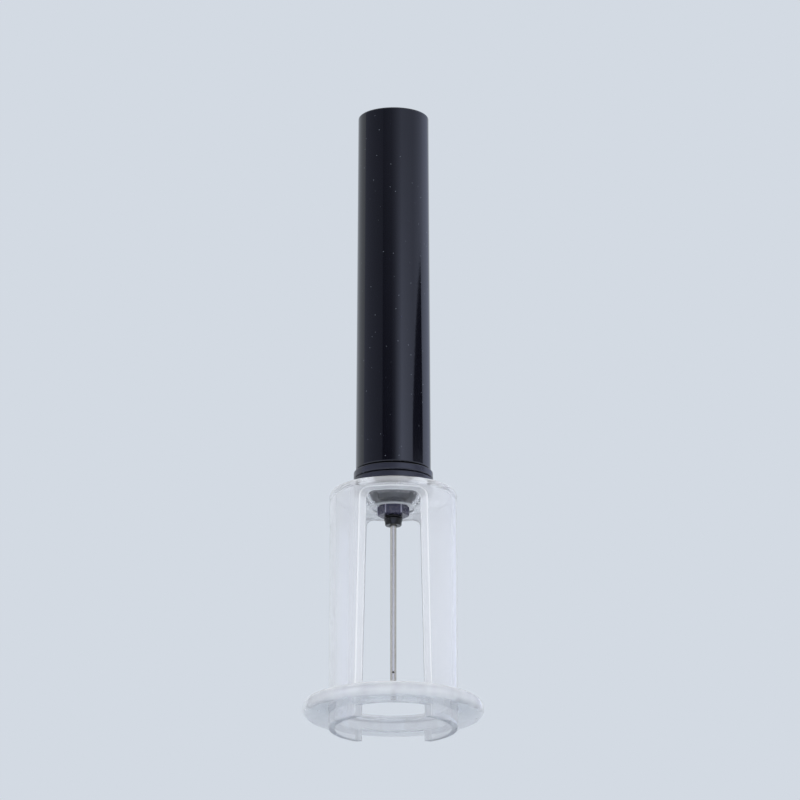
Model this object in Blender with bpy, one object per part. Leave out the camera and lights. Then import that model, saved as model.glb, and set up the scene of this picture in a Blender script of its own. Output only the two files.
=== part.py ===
"""Air pump wine opener: a hand pump with a hollow needle and a clear bottle guide.

Metres, +Z up along the pump's axis. The opener stands on the guide's spigot, and the
origin is on the axis, in the plane that it stands on. The pump is shown closed.
"""

import math

import bmesh
import bpy

# Clearances
FIXED_GAP = 0.0003          # between pieces that are screwed, pressed or laid together
RUNNING_GAP = 0.0004        # between pieces that slide on each other
SEAL_GAP = 0.00015          # round a ring seal in its groove
VALVE_GAP = 0.0001          # between the ball and its seat

# Smoothness
LARGE_SEGMENTS = 40
INNER_SEGMENTS = 32
SMALL_SEGMENTS = 20
SECTION_POINTS = 8
WIRE_RESOLUTION = 1
CORNER_STEPS = 3
FILLET_SPACE_SHARE = 0.96   # the most of a side that the fillets at its ends take up
SHARP_ANGLE = math.radians(35)
MERGE_DISTANCE = 0.000001
CUT_OVERRUN = 0.002

# Bottle guide
GUIDE_RADIUS = 0.0245
GUIDE_DRAFT = 0.0002        # how much wider the guide is at its lower end
GUIDE_WALL = 0.0022
GUIDE_LEG_LENGTH = 0.083
GUIDE_SHOULDER_RADIUS = 0.0024
GUIDE_PLATE_THICKNESS = 0.0024
FLANGE_RADIUS = 0.0345
FLANGE_THICKNESS = 0.0055
FLANGE_EDGE_RADIUS = 0.0022
SPIGOT_HEIGHT = 0.005
GUIDE_SMALL_EDGE_RADIUS = 0.0006
CUP_DEPTH = 0.007
CUP_TOP_RADIUS = 0.0127
CUP_BOTTOM_RADIUS = 0.0088
CUP_ROUNDING_RADIUS = 0.003

# Windows in the guide's front and back, and the slots under them
WINDOW_TOP_DROP = 0.0044
WINDOW_TOP_HALF_WIDTH = 0.0128      # on the guide's outer surface
WINDOW_BOTTOM_HALF_WIDTH = 0.0145
WINDOW_FLARE_SHARE = 1.2            # how much narrower each side is in the bore, as a share of the wall
WINDOW_CORNER_RADIUS = 0.0028
WINDOW_SILL = 0.0004

# Nose
NOSE_FLANGE_RADIUS = 0.0154
NOSE_FLANGE_HEIGHT = 0.0041
NOSE_EDGE_RADIUS = 0.0006
NOSE_CONE_DEPTH = 0.0038
NOSE_CONE_TOP_RADIUS = 0.0101
NOSE_CONE_BOTTOM_RADIUS = 0.0076
NOSE_BOSS_RADIUS = 0.0053
NOSE_BOSS_HEIGHT = 0.002
NOSE_FLOOR_THICKNESS = 0.0014
NOSE_CHAMBER_RADIUS = 0.0052

# Collar
COLLAR_RADIUS = 0.0152
COLLAR_BAND_HEIGHT = 0.0029
COLLAR_SKIRT_RADIUS = 0.0112
COLLAR_SKIRT_DEPTH = 0.0022
COLLAR_LEDGE_THICKNESS = 0.0012
BASE_SEAL_THICKNESS = 0.0008
LANDING_RING_INNER_RADIUS = 0.0118
LANDING_RING_WIDTH = 0.0022
LANDING_RING_THICKNESS = 0.0012
LANDING_RING_PROUD = 0.0002

# Lock nut, hub and needle
NUT_SIDES = 6
NUT_ACROSS_FLATS = 0.0107
NUT_HEIGHT = 0.0035
NUT_CHAMFER = 0.0004
HUB_TOP_RADIUS = 0.0035
HUB_BOTTOM_RADIUS = 0.0031
HUB_HEIGHT = 0.0027
HUB_EDGE_RADIUS = 0.0004
HUB_STEM_RADIUS = 0.0023
HUB_STEM_RISE = 0.0008
HUB_GASKET_THICKNESS = 0.0006
NEEDLE_RADIUS = 0.0012
NEEDLE_BORE_RADIUS = 0.00065
NEEDLE_LENGTH = 0.066
NEEDLE_POINT_LENGTH = 0.005
NEEDLE_SOLID_END_LENGTH = 0.007
NEEDLE_PORT_RADIUS = 0.00045
NEEDLE_TOP_RECESS = 0.0005

# Sleeve
SLEEVE_LENGTH = 0.1435
SLEEVE_BOTTOM_RADIUS = 0.0144
SLEEVE_TOP_RADIUS = 0.01365
SLEEVE_BORE_RADIUS = 0.0119
SLEEVE_TOP_EDGE_RADIUS = 0.0013
SLEEVE_BOTTOM_EDGE_RADIUS = 0.0005
CAP_RECESS = 0.0004
CAP_PLATE_THICKNESS = 0.003
CAP_EDGE_RADIUS = 0.0006
CAP_BOSS_LENGTH = 0.005
CAP_SEAL_SECTION = 0.0007

# Barrel, bush and piston tube
BARREL_WALL = 0.0008
BUSH_LOWER_HEIGHT = 0.012
BUSH_UPPER_HEIGHT = 0.006
BUSH_RECESS = 0.0005
TUBE_RADIUS = 0.007
TUBE_WALL = 0.0014
BUMPER_RADIUS = 0.0096
BUMPER_HEIGHT = 0.003

# Piston and check valve
PISTON_DEAD_SPACE = 0.002
PISTON_HEIGHT = 0.009
PISTON_EDGE_RADIUS = 0.0005
PISTON_SPIGOT_LENGTH = 0.005
PISTON_CROWN_THICKNESS = 0.0015
INLET_RADIUS = 0.001
CUP_SEAL_HEIGHT = 0.0042
CUP_SEAL_DEPTH = 0.0021
CUP_SEAL_LIP_WIDTH = 0.0006
CUP_SEAL_CHANNEL_DEPTH = 0.002
CUP_SEAL_DROP = 0.002
VALVE_CHAMBER_RADIUS = 0.0029
VALVE_SEAT_THICKNESS = 0.0012
VALVE_SEAT_HOLE_RADIUS = 0.0011
BALL_RADIUS = 0.002
CAGE_THICKNESS = 0.003
CAGE_HOLE_RADIUS = 0.0009
SPRING_WIRE_RADIUS = 0.0002
SPRING_COIL_RADIUS = 0.0016
SPRING_TURNS = 4.5
SPRING_POINTS_PER_TURN = 10

# Heights along the axis, from the plane that the guide stands on
FLANGE_BOTTOM_Z = SPIGOT_HEIGHT
FLANGE_TOP_Z = FLANGE_BOTTOM_Z + FLANGE_THICKNESS
GUIDE_TOP_Z = FLANGE_TOP_Z + GUIDE_LEG_LENGTH
NOSE_FLANGE_BOTTOM_Z = GUIDE_TOP_Z + FIXED_GAP
NOSE_FLANGE_TOP_Z = NOSE_FLANGE_BOTTOM_Z + NOSE_FLANGE_HEIGHT
NOSE_BOTTOM_Z = GUIDE_TOP_Z - NOSE_CONE_DEPTH
COLLAR_BAND_BOTTOM_Z = NOSE_FLANGE_TOP_Z + FIXED_GAP
COLLAR_TOP_Z = COLLAR_BAND_BOTTOM_Z + COLLAR_BAND_HEIGHT
COLLAR_BOTTOM_Z = COLLAR_BAND_BOTTOM_Z - COLLAR_SKIRT_DEPTH
BASE_SEAL_TOP_Z = COLLAR_BOTTOM_Z - FIXED_GAP
NOSE_SOCKET_Z = BASE_SEAL_TOP_Z - BASE_SEAL_THICKNESS - FIXED_GAP
NOSE_CHAMBER_Z = NOSE_BOTTOM_Z + NOSE_FLOOR_THICKNESS
LANDING_RING_TOP_Z = COLLAR_TOP_Z + LANDING_RING_PROUD
LANDING_RING_BOTTOM_Z = LANDING_RING_TOP_Z - LANDING_RING_THICKNESS
SLEEVE_BOTTOM_Z = LANDING_RING_TOP_Z + FIXED_GAP
SLEEVE_TOP_Z = SLEEVE_BOTTOM_Z + SLEEVE_LENGTH
NOSE_BOSS_BOTTOM_Z = NOSE_BOTTOM_Z - NOSE_BOSS_HEIGHT
NUT_TOP_Z = NOSE_BOSS_BOTTOM_Z - FIXED_GAP
NUT_BOTTOM_Z = NUT_TOP_Z - NUT_HEIGHT
HUB_GASKET_TOP_Z = NUT_BOTTOM_Z - FIXED_GAP
HUB_TOP_Z = HUB_GASKET_TOP_Z - HUB_GASKET_THICKNESS - FIXED_GAP
HUB_BOTTOM_Z = HUB_TOP_Z - HUB_HEIGHT
HUB_STEM_TOP_Z = NOSE_CHAMBER_Z + HUB_STEM_RISE
NEEDLE_TOP_Z = HUB_STEM_TOP_Z - NEEDLE_TOP_RECESS
NEEDLE_TIP_Z = HUB_BOTTOM_Z - NEEDLE_LENGTH
CAP_TOP_Z = SLEEVE_TOP_Z - CAP_RECESS
CAP_PLATE_BOTTOM_Z = CAP_TOP_Z - CAP_PLATE_THICKNESS
CAP_BOSS_BOTTOM_Z = CAP_PLATE_BOTTOM_Z - CAP_BOSS_LENGTH
BARREL_TOP_Z = CAP_PLATE_BOTTOM_Z - FIXED_GAP
BUSH_BOTTOM_Z = SLEEVE_BOTTOM_Z + BUSH_RECESS
BUSH_STEP_Z = BUSH_BOTTOM_Z + BUSH_LOWER_HEIGHT
BUSH_TOP_Z = BUSH_STEP_Z + BUSH_UPPER_HEIGHT
BARREL_BOTTOM_Z = BUSH_STEP_Z + FIXED_GAP
PISTON_TOP_Z = CAP_BOSS_BOTTOM_Z - PISTON_DEAD_SPACE
PISTON_BOTTOM_Z = PISTON_TOP_Z - PISTON_HEIGHT
PISTON_SPIGOT_BOTTOM_Z = PISTON_BOTTOM_Z - PISTON_SPIGOT_LENGTH
TUBE_TOP_Z = PISTON_BOTTOM_Z - FIXED_GAP
TUBE_BOTTOM_Z = COLLAR_BOTTOM_Z + COLLAR_LEDGE_THICKNESS + FIXED_GAP
BUMPER_TOP_Z = PISTON_BOTTOM_Z - FIXED_GAP
BUMPER_BOTTOM_Z = BUMPER_TOP_Z - BUMPER_HEIGHT
VALVE_CHAMBER_TOP_Z = PISTON_TOP_Z - PISTON_CROWN_THICKNESS
VALVE_SEAT_TOP_Z = VALVE_CHAMBER_TOP_Z - FIXED_GAP
VALVE_SEAT_BOTTOM_Z = VALVE_SEAT_TOP_Z - VALVE_SEAT_THICKNESS
CAGE_BOTTOM_Z = PISTON_SPIGOT_BOTTOM_Z + FIXED_GAP
CAGE_TOP_Z = CAGE_BOTTOM_Z + CAGE_THICKNESS

# Radii that follow from the fits
BARREL_RADIUS = SLEEVE_BORE_RADIUS - FIXED_GAP
BARREL_BORE_RADIUS = BARREL_RADIUS - BARREL_WALL
PISTON_RADIUS = BARREL_BORE_RADIUS - RUNNING_GAP
TUBE_BORE_RADIUS = TUBE_RADIUS - TUBE_WALL
GUIDE_BORE_RADIUS = GUIDE_RADIUS - GUIDE_WALL
WINDOW_FLARE = GUIDE_WALL * WINDOW_FLARE_SHARE
NUT_CORNER_RADIUS = NUT_ACROSS_FLATS / 2 / math.cos(math.pi / NUT_SIDES)
HUB_BORE_RADIUS = NEEDLE_RADIUS + FIXED_GAP
STEM_HOLE_RADIUS = HUB_STEM_RADIUS + FIXED_GAP


def make_material(name, colour, roughness, metallic=0.0, transmission=0.0):
    """A Principled material in the piece's colour."""
    material = bpy.data.materials.new(name)
    material.use_nodes = True
    shader = material.node_tree.nodes["Principled BSDF"]
    shader.inputs["Base Color"].default_value = (*colour, 1.0)
    shader.inputs["Roughness"].default_value = roughness
    shader.inputs["Metallic"].default_value = metallic
    shader.inputs["Transmission Weight"].default_value = transmission
    return material


def free_length(corner, neighbour):
    """The length that a corner's fillet may take up on the side to its neighbour."""
    length = math.hypot(neighbour[0] - corner[0], neighbour[1] - corner[1]) * FILLET_SPACE_SHARE
    return length / 2 if neighbour[2] else length


def rounded(corners):
    """Points of a closed outline of (radius, height, fillet), with its fillets as arcs."""
    points = []
    for index, corner in enumerate(corners):
        r, z, fillet = corner
        if fillet == 0:
            points.append((r, z))
            continue
        before = corners[index - 1]
        after = corners[(index + 1) % len(corners)]
        to_before = math.atan2(before[1] - z, before[0] - r)
        to_after = math.atan2(after[1] - z, after[0] - r)
        opening = (to_after - to_before + math.pi) % (2 * math.pi) - math.pi
        space = min(free_length(corner, before), free_length(corner, after))
        fillet = min(fillet, space * abs(math.tan(opening / 2)))
        to_centre = to_before + opening / 2
        distance = fillet / abs(math.sin(opening / 2))
        centre_r = r + distance * math.cos(to_centre)
        centre_z = z + distance * math.sin(to_centre)
        turn = math.copysign(math.pi - abs(opening), -opening)
        for step in range(CORNER_STEPS + 1):
            angle = to_centre + math.pi + turn * (step / CORNER_STEPS - 1 / 2)
            points.append((centre_r + fillet * math.cos(angle), centre_z + fillet * math.sin(angle)))
    return points


def finish_mesh(name, shape):
    """The bmesh as a mesh, with its faces turned out."""
    bmesh.ops.remove_doubles(shape, verts=shape.verts, dist=MERGE_DISTANCE)
    bmesh.ops.recalc_face_normals(shape, faces=shape.faces)
    mesh = bpy.data.meshes.new(name)
    shape.to_mesh(mesh)
    shape.free()
    return mesh


def add_object(name, mesh, material):
    """A smooth-shaded object with the mesh and the material."""
    mesh.shade_smooth()
    mesh.set_sharp_from_angle(angle=SHARP_ANGLE)
    mesh.materials.append(material)
    part = bpy.data.objects.new(name, mesh)
    bpy.context.scene.collection.objects.link(part)
    return part


def turned_mesh(name, outline, segments):
    """A mesh turned round Z from a closed outline, which may start and end on the axis."""
    shape = bmesh.new()
    verts = [shape.verts.new((r, 0, z)) for r, z in outline]
    edges = []
    for i in range(len(verts)):
        along_axis = outline[i - 1][0] == 0 and outline[i][0] == 0
        if not along_axis:
            edges.append(shape.edges.new((verts[i - 1], verts[i])))
    bmesh.ops.spin(
        shape, geom=verts + edges, cent=(0, 0, 0), axis=(0, 0, 1),
        angle=2 * math.pi, steps=segments, use_merge=True,
    )
    return finish_mesh(name, shape)


def turned(name, outline, material, segments=INNER_SEGMENTS):
    """An object turned round Z."""
    return add_object(name, turned_mesh(name, outline, segments), material)


def ring_outline(inner, outer, bottom, top, fillet=0.0):
    """The outline of a flat ring, with the fillet on its outer corners."""
    return rounded([(inner, bottom, 0), (outer, bottom, fillet), (outer, top, fillet), (inner, top, 0)])


def round_section(centre_radius, centre_z, section_radius):
    """The outline of a ring with a round section."""
    angles = [2 * math.pi * i / SECTION_POINTS for i in range(SECTION_POINTS)]
    return [
        (centre_radius + section_radius * math.cos(a), centre_z + section_radius * math.sin(a))
        for a in angles
    ]


def panel_mesh(name, outer_points, inner_points, outer_y, inner_y):
    """A closed block between an outline of (x, z) points at one depth and one at another."""
    shape = bmesh.new()
    outer = [shape.verts.new((x, outer_y, z)) for x, z in outer_points]
    inner = [shape.verts.new((x, inner_y, z)) for x, z in inner_points]
    shape.faces.new(outer)
    shape.faces.new(list(reversed(inner)))
    for i in range(len(outer)):
        shape.faces.new((outer[i - 1], inner[i - 1], inner[i], outer[i]))
    return finish_mesh(name, shape)


def add_boolean(part, name, mesh, operation):
    """A Boolean modifier on the part, with the mesh as its hidden tool."""
    tool = bpy.data.objects.new(name, mesh)
    bpy.context.scene.collection.objects.link(tool)
    tool.hide_render = True
    tool.display_type = "WIRE"
    boolean = part.modifiers.new(name, "BOOLEAN")
    boolean.operation = operation
    boolean.object = tool


def half_width_at(depth, half_width):
    """Half an opening's width at a depth from the axis, from its half width on the guide."""
    inner_half_width = half_width - WINDOW_FLARE
    outer_edge = math.sqrt(GUIDE_RADIUS ** 2 - half_width ** 2)
    inner_edge = math.sqrt(GUIDE_BORE_RADIUS ** 2 - inner_half_width ** 2)
    return half_width + WINDOW_FLARE * (depth - outer_edge) / (outer_edge - inner_edge)


def window_outline(depth):
    """The window's outline at a depth from the axis, seen from the front."""
    top_z = GUIDE_TOP_Z - WINDOW_TOP_DROP
    bottom_z = FLANGE_TOP_Z + WINDOW_SILL
    top_half = half_width_at(depth, WINDOW_TOP_HALF_WIDTH)
    bottom_half = half_width_at(depth, WINDOW_BOTTOM_HALF_WIDTH)
    return rounded([
        (-bottom_half, bottom_z, 0),
        (bottom_half, bottom_z, 0),
        (top_half, top_z, WINDOW_CORNER_RADIUS),
        (-top_half, top_z, WINDOW_CORNER_RADIUS),
    ])


def slot_outline(depth):
    """The outline of the slot in the spigot under a window, open below, at a depth."""
    half = half_width_at(depth, WINDOW_BOTTOM_HALF_WIDTH)
    top_z = FLANGE_BOTTOM_Z - WINDOW_SILL
    return [(-half, -CUT_OVERRUN), (half, -CUT_OVERRUN), (half, top_z), (-half, top_z)]


def make_bottle_guide(material):
    """The clear guide: a plate with a cup for the nose, two legs, a wide rim and a spigot."""
    bottom_radius = GUIDE_RADIUS + GUIDE_DRAFT
    plate_bottom_z = GUIDE_TOP_Z - GUIDE_PLATE_THICKNESS
    cup_bottom_z = GUIDE_TOP_Z - CUP_DEPTH
    cup_side_z = (plate_bottom_z + cup_bottom_z) / 2
    hole_radius = NOSE_CONE_BOTTOM_RADIUS + FIXED_GAP
    outline = rounded([
        (GUIDE_BORE_RADIUS, 0, 0),
        (bottom_radius, 0, GUIDE_SMALL_EDGE_RADIUS),
        (bottom_radius, FLANGE_BOTTOM_Z, 0),
        (FLANGE_RADIUS, FLANGE_BOTTOM_Z, FLANGE_EDGE_RADIUS),
        (FLANGE_RADIUS, FLANGE_TOP_Z, FLANGE_EDGE_RADIUS),
        (bottom_radius, FLANGE_TOP_Z, 0),
        (GUIDE_RADIUS, GUIDE_TOP_Z, GUIDE_SHOULDER_RADIUS),
        (NOSE_CONE_TOP_RADIUS + FIXED_GAP, GUIDE_TOP_Z, 0),
        (hole_radius, NOSE_BOTTOM_Z, 0),
        (hole_radius, cup_bottom_z, 0),
        (CUP_BOTTOM_RADIUS, cup_bottom_z, 0),
        (CUP_TOP_RADIUS, cup_side_z, CUP_ROUNDING_RADIUS),
        (CUP_TOP_RADIUS, plate_bottom_z, 0),
        (GUIDE_BORE_RADIUS, plate_bottom_z, 0),
    ])
    guide = turned("bottle_guide", outline, material, LARGE_SEGMENTS)
    outer_depth = GUIDE_RADIUS + CUT_OVERRUN
    inner_half_width = WINDOW_BOTTOM_HALF_WIDTH - WINDOW_FLARE
    inner_depth = math.sqrt(GUIDE_BORE_RADIUS ** 2 - inner_half_width ** 2) - CUT_OVERRUN
    for side_name, side in (("front", -1), ("back", 1)):
        for cut_name, outline_at in (("window", window_outline), ("slot", slot_outline)):
            name = f"{side_name}_{cut_name}_cutter"
            outer_points = outline_at(outer_depth)
            inner_points = outline_at(inner_depth)
            mesh = panel_mesh(name, outer_points, inner_points, side * outer_depth, side * inner_depth)
            add_boolean(guide, name, mesh, "DIFFERENCE")


def make_nose_cone(material):
    """The nose: a flange with a socket for the collar, and a cone that wedges in the cup.

    A round boss under the cone carries the lock nut.
    """
    socket_radius = COLLAR_SKIRT_RADIUS + FIXED_GAP
    outline = rounded([
        (NOSE_BOSS_RADIUS, NOSE_BOSS_BOTTOM_Z, 0),
        (NOSE_BOSS_RADIUS, NOSE_BOTTOM_Z, 0),
        (NOSE_CONE_BOTTOM_RADIUS, NOSE_BOTTOM_Z, 0),
        (NOSE_CONE_TOP_RADIUS, NOSE_FLANGE_BOTTOM_Z, 0),
        (NOSE_FLANGE_RADIUS, NOSE_FLANGE_BOTTOM_Z, NOSE_EDGE_RADIUS),
        (NOSE_FLANGE_RADIUS, NOSE_FLANGE_TOP_Z, NOSE_EDGE_RADIUS),
        (socket_radius, NOSE_FLANGE_TOP_Z, 0),
        (socket_radius, NOSE_SOCKET_Z, 0),
        (NOSE_CHAMBER_RADIUS, NOSE_SOCKET_Z, 0),
        (NOSE_CHAMBER_RADIUS, NOSE_CHAMBER_Z, 0),
        (STEM_HOLE_RADIUS, NOSE_CHAMBER_Z, 0),
        (STEM_HOLE_RADIUS, NOSE_BOSS_BOTTOM_Z, 0),
    ])
    turned("nose_cone", outline, material, LARGE_SEGMENTS)


def make_base_collar(material):
    """The collar: a band under the sleeve, a skirt in the nose and a socket for the tube."""
    groove_inner = LANDING_RING_INNER_RADIUS - FIXED_GAP
    groove_outer = LANDING_RING_INNER_RADIUS + LANDING_RING_WIDTH + FIXED_GAP
    groove_z = LANDING_RING_BOTTOM_Z - FIXED_GAP
    tube_socket_radius = TUBE_RADIUS + FIXED_GAP
    outline = rounded([
        (TUBE_BORE_RADIUS, COLLAR_BOTTOM_Z, 0),
        (COLLAR_SKIRT_RADIUS, COLLAR_BOTTOM_Z, 0),
        (COLLAR_SKIRT_RADIUS, COLLAR_BAND_BOTTOM_Z, 0),
        (COLLAR_RADIUS, COLLAR_BAND_BOTTOM_Z, NOSE_EDGE_RADIUS),
        (COLLAR_RADIUS, COLLAR_TOP_Z, NOSE_EDGE_RADIUS),
        (groove_outer, COLLAR_TOP_Z, 0),
        (groove_outer, groove_z, 0),
        (groove_inner, groove_z, 0),
        (groove_inner, COLLAR_TOP_Z, 0),
        (tube_socket_radius, COLLAR_TOP_Z, 0),
        (tube_socket_radius, TUBE_BOTTOM_Z - FIXED_GAP, 0),
        (TUBE_BORE_RADIUS, TUBE_BOTTOM_Z - FIXED_GAP, 0),
    ])
    turned("base_collar", outline, material, LARGE_SEGMENTS)


def make_base_rings(material):
    """The flat seal between collar and nose, and the ring that the sleeve lands on."""
    seal_bottom_z = BASE_SEAL_TOP_Z - BASE_SEAL_THICKNESS
    seal = ring_outline(TUBE_BORE_RADIUS, COLLAR_SKIRT_RADIUS, seal_bottom_z, BASE_SEAL_TOP_Z)
    turned("base_seal", seal, material)
    inner = LANDING_RING_INNER_RADIUS
    outer = inner + LANDING_RING_WIDTH
    ring = ring_outline(inner, outer, LANDING_RING_BOTTOM_Z, LANDING_RING_TOP_Z)
    turned("landing_ring", ring, material, LARGE_SEGMENTS)


def make_needle_nut(material):
    """The lock nut: a turned blank with chamfered ends, cut to a hexagon."""
    blank = rounded([
        (STEM_HOLE_RADIUS, NUT_BOTTOM_Z, 0),
        (NUT_CORNER_RADIUS - NUT_CHAMFER, NUT_BOTTOM_Z, 0),
        (NUT_CORNER_RADIUS, NUT_BOTTOM_Z + NUT_CHAMFER, 0),
        (NUT_CORNER_RADIUS, NUT_TOP_Z, 0),
        (STEM_HOLE_RADIUS, NUT_TOP_Z, 0),
    ])
    nut = turned("needle_nut", blank, material)
    bottom_z = NUT_BOTTOM_Z - CUT_OVERRUN
    top_z = NUT_TOP_Z + CUT_OVERRUN
    prism = ring_outline(0, NUT_CORNER_RADIUS, bottom_z, top_z)
    hexagon = turned_mesh("hexagon_cutter", prism, NUT_SIDES)
    add_boolean(nut, "hexagon_cutter", hexagon, "INTERSECT")


def make_needle_hub(material):
    """The hub: a tapered boss under the nut, with a stem up into the nose."""
    outline = rounded([
        (HUB_BORE_RADIUS, HUB_BOTTOM_Z, 0),
        (HUB_BOTTOM_RADIUS, HUB_BOTTOM_Z, HUB_EDGE_RADIUS),
        (HUB_TOP_RADIUS, HUB_TOP_Z, 0),
        (HUB_STEM_RADIUS, HUB_TOP_Z, 0),
        (HUB_STEM_RADIUS, HUB_STEM_TOP_Z, 0),
        (HUB_BORE_RADIUS, HUB_STEM_TOP_Z, 0),
    ])
    turned("needle_hub", outline, material, SMALL_SEGMENTS)


def make_hub_gasket(material):
    """The flat washer between the nut and the hub."""
    bottom_z = HUB_GASKET_TOP_Z - HUB_GASKET_THICKNESS
    outline = ring_outline(STEM_HOLE_RADIUS, HUB_TOP_RADIUS, bottom_z, HUB_GASKET_TOP_Z)
    turned("hub_gasket", outline, material, SMALL_SEGMENTS)


def make_needle(material):
    """The hollow needle: a solid point, and an air port in its side just above it."""
    solid_end_z = NEEDLE_TIP_Z + NEEDLE_SOLID_END_LENGTH
    outline = [
        (0, NEEDLE_TIP_Z),
        (NEEDLE_RADIUS, NEEDLE_TIP_Z + NEEDLE_POINT_LENGTH),
        (NEEDLE_RADIUS, NEEDLE_TOP_Z),
        (NEEDLE_BORE_RADIUS, NEEDLE_TOP_Z),
        (NEEDLE_BORE_RADIUS, solid_end_z),
        (0, solid_end_z),
    ]
    needle = turned("needle", outline, material, SMALL_SEGMENTS)
    port_z = solid_end_z + 2 * NEEDLE_PORT_RADIUS
    port_points = [
        (NEEDLE_PORT_RADIUS * math.cos(angle), port_z + NEEDLE_PORT_RADIUS * math.sin(angle))
        for angle in (2 * math.pi * i / SECTION_POINTS for i in range(SECTION_POINTS))
    ]
    mesh = panel_mesh("port_cutter", port_points, port_points, -NEEDLE_RADIUS - CUT_OVERRUN, 0)
    add_boolean(needle, "port_cutter", mesh, "DIFFERENCE")


def make_handle_sleeve(material):
    """The tapered outer sleeve, with a parallel bore."""
    outline = rounded([
        (SLEEVE_BORE_RADIUS, SLEEVE_BOTTOM_Z, 0),
        (SLEEVE_BOTTOM_RADIUS, SLEEVE_BOTTOM_Z, SLEEVE_BOTTOM_EDGE_RADIUS),
        (SLEEVE_TOP_RADIUS, SLEEVE_TOP_Z, SLEEVE_TOP_EDGE_RADIUS),
        (SLEEVE_BORE_RADIUS, SLEEVE_TOP_Z, 0),
    ])
    turned("handle_sleeve", outline, material, LARGE_SEGMENTS)


def make_end_cap(material, seal_material):
    """The plug in the sleeve's upper end, and the ring seal on its boss."""
    plate_radius = SLEEVE_BORE_RADIUS - FIXED_GAP
    boss_radius = BARREL_BORE_RADIUS - FIXED_GAP
    seal_z = (CAP_PLATE_BOTTOM_Z + CAP_BOSS_BOTTOM_Z) / 2
    seal_centre_radius = BARREL_BORE_RADIUS - SEAL_GAP - CAP_SEAL_SECTION
    groove_radius = seal_centre_radius - CAP_SEAL_SECTION - SEAL_GAP
    groove_half = CAP_SEAL_SECTION + SEAL_GAP
    outline = rounded([
        (0, CAP_BOSS_BOTTOM_Z, 0),
        (boss_radius, CAP_BOSS_BOTTOM_Z, 0),
        (boss_radius, seal_z - groove_half, 0),
        (groove_radius, seal_z - groove_half, 0),
        (groove_radius, seal_z + groove_half, 0),
        (boss_radius, seal_z + groove_half, 0),
        (boss_radius, CAP_PLATE_BOTTOM_Z, 0),
        (plate_radius, CAP_PLATE_BOTTOM_Z, 0),
        (plate_radius, CAP_TOP_Z, CAP_EDGE_RADIUS),
        (0, CAP_TOP_Z, 0),
    ])
    turned("end_cap", outline, material)
    turned("cap_seal", round_section(seal_centre_radius, seal_z, CAP_SEAL_SECTION), seal_material)


def make_pump_barrel(material):
    """The parallel tube that the piston runs in."""
    outline = ring_outline(BARREL_BORE_RADIUS, BARREL_RADIUS, BARREL_BOTTOM_Z, BARREL_TOP_Z)
    turned("pump_barrel", outline, material)


def make_barrel_bush(material):
    """The bush in the sleeve's lower end, with a step into the barrel."""
    bore_radius = TUBE_RADIUS + RUNNING_GAP
    lower_radius = SLEEVE_BORE_RADIUS - FIXED_GAP
    upper_radius = BARREL_BORE_RADIUS - FIXED_GAP
    outline = [
        (bore_radius, BUSH_BOTTOM_Z),
        (lower_radius, BUSH_BOTTOM_Z),
        (lower_radius, BUSH_STEP_Z),
        (upper_radius, BUSH_STEP_Z),
        (upper_radius, BUSH_TOP_Z),
        (bore_radius, BUSH_TOP_Z),
    ]
    turned("barrel_bush", outline, material)


def make_piston_tube(material):
    """The hollow rod from the collar up to the piston."""
    turned("piston_tube", ring_outline(TUBE_BORE_RADIUS, TUBE_RADIUS, TUBE_BOTTOM_Z, TUBE_TOP_Z), material)


def make_stroke_bumper(material):
    """The rubber ring under the piston, which the bush meets at the end of the stroke."""
    inner = TUBE_RADIUS + FIXED_GAP
    outline = ring_outline(inner, BUMPER_RADIUS, BUMPER_BOTTOM_Z, BUMPER_TOP_Z, PISTON_EDGE_RADIUS)
    turned("stroke_bumper", outline, material)


def make_piston(material, seal_material):
    """The piston on the tube's upper end, and the cup seal in its groove."""
    spigot_radius = TUBE_BORE_RADIUS - FIXED_GAP
    groove_top_z = PISTON_TOP_Z - CUP_SEAL_DROP
    seal_top_z = groove_top_z - SEAL_GAP
    seal_bottom_z = seal_top_z - CUP_SEAL_HEIGHT
    groove_bottom_z = seal_bottom_z - SEAL_GAP
    groove_radius = PISTON_RADIUS - CUP_SEAL_DEPTH
    outline = rounded([
        (VALVE_CHAMBER_RADIUS, PISTON_SPIGOT_BOTTOM_Z, 0),
        (spigot_radius, PISTON_SPIGOT_BOTTOM_Z, 0),
        (spigot_radius, PISTON_BOTTOM_Z, 0),
        (PISTON_RADIUS, PISTON_BOTTOM_Z, PISTON_EDGE_RADIUS),
        (PISTON_RADIUS, groove_bottom_z, 0),
        (groove_radius, groove_bottom_z, 0),
        (groove_radius, groove_top_z, 0),
        (PISTON_RADIUS, groove_top_z, 0),
        (PISTON_RADIUS, PISTON_TOP_Z, PISTON_EDGE_RADIUS),
        (INLET_RADIUS, PISTON_TOP_Z, 0),
        (INLET_RADIUS, VALVE_CHAMBER_TOP_Z, 0),
        (VALVE_CHAMBER_RADIUS, VALVE_CHAMBER_TOP_Z, 0),
    ])
    turned("piston_head", outline, material)
    inner = groove_radius + SEAL_GAP
    lip_outer = BARREL_BORE_RADIUS - SEAL_GAP
    lip_bottom_z = seal_top_z - CUP_SEAL_CHANNEL_DEPTH
    seal_outline = [
        (inner, seal_bottom_z),
        (PISTON_RADIUS - SEAL_GAP, seal_bottom_z),
        (lip_outer, seal_top_z),
        (lip_outer - CUP_SEAL_LIP_WIDTH, seal_top_z),
        (lip_outer - 2 * CUP_SEAL_LIP_WIDTH, lip_bottom_z),
        (inner + CUP_SEAL_LIP_WIDTH, lip_bottom_z),
        (inner + CUP_SEAL_LIP_WIDTH, seal_top_z),
        (inner, seal_top_z),
    ]
    turned("piston_seal", seal_outline, seal_material)


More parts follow.
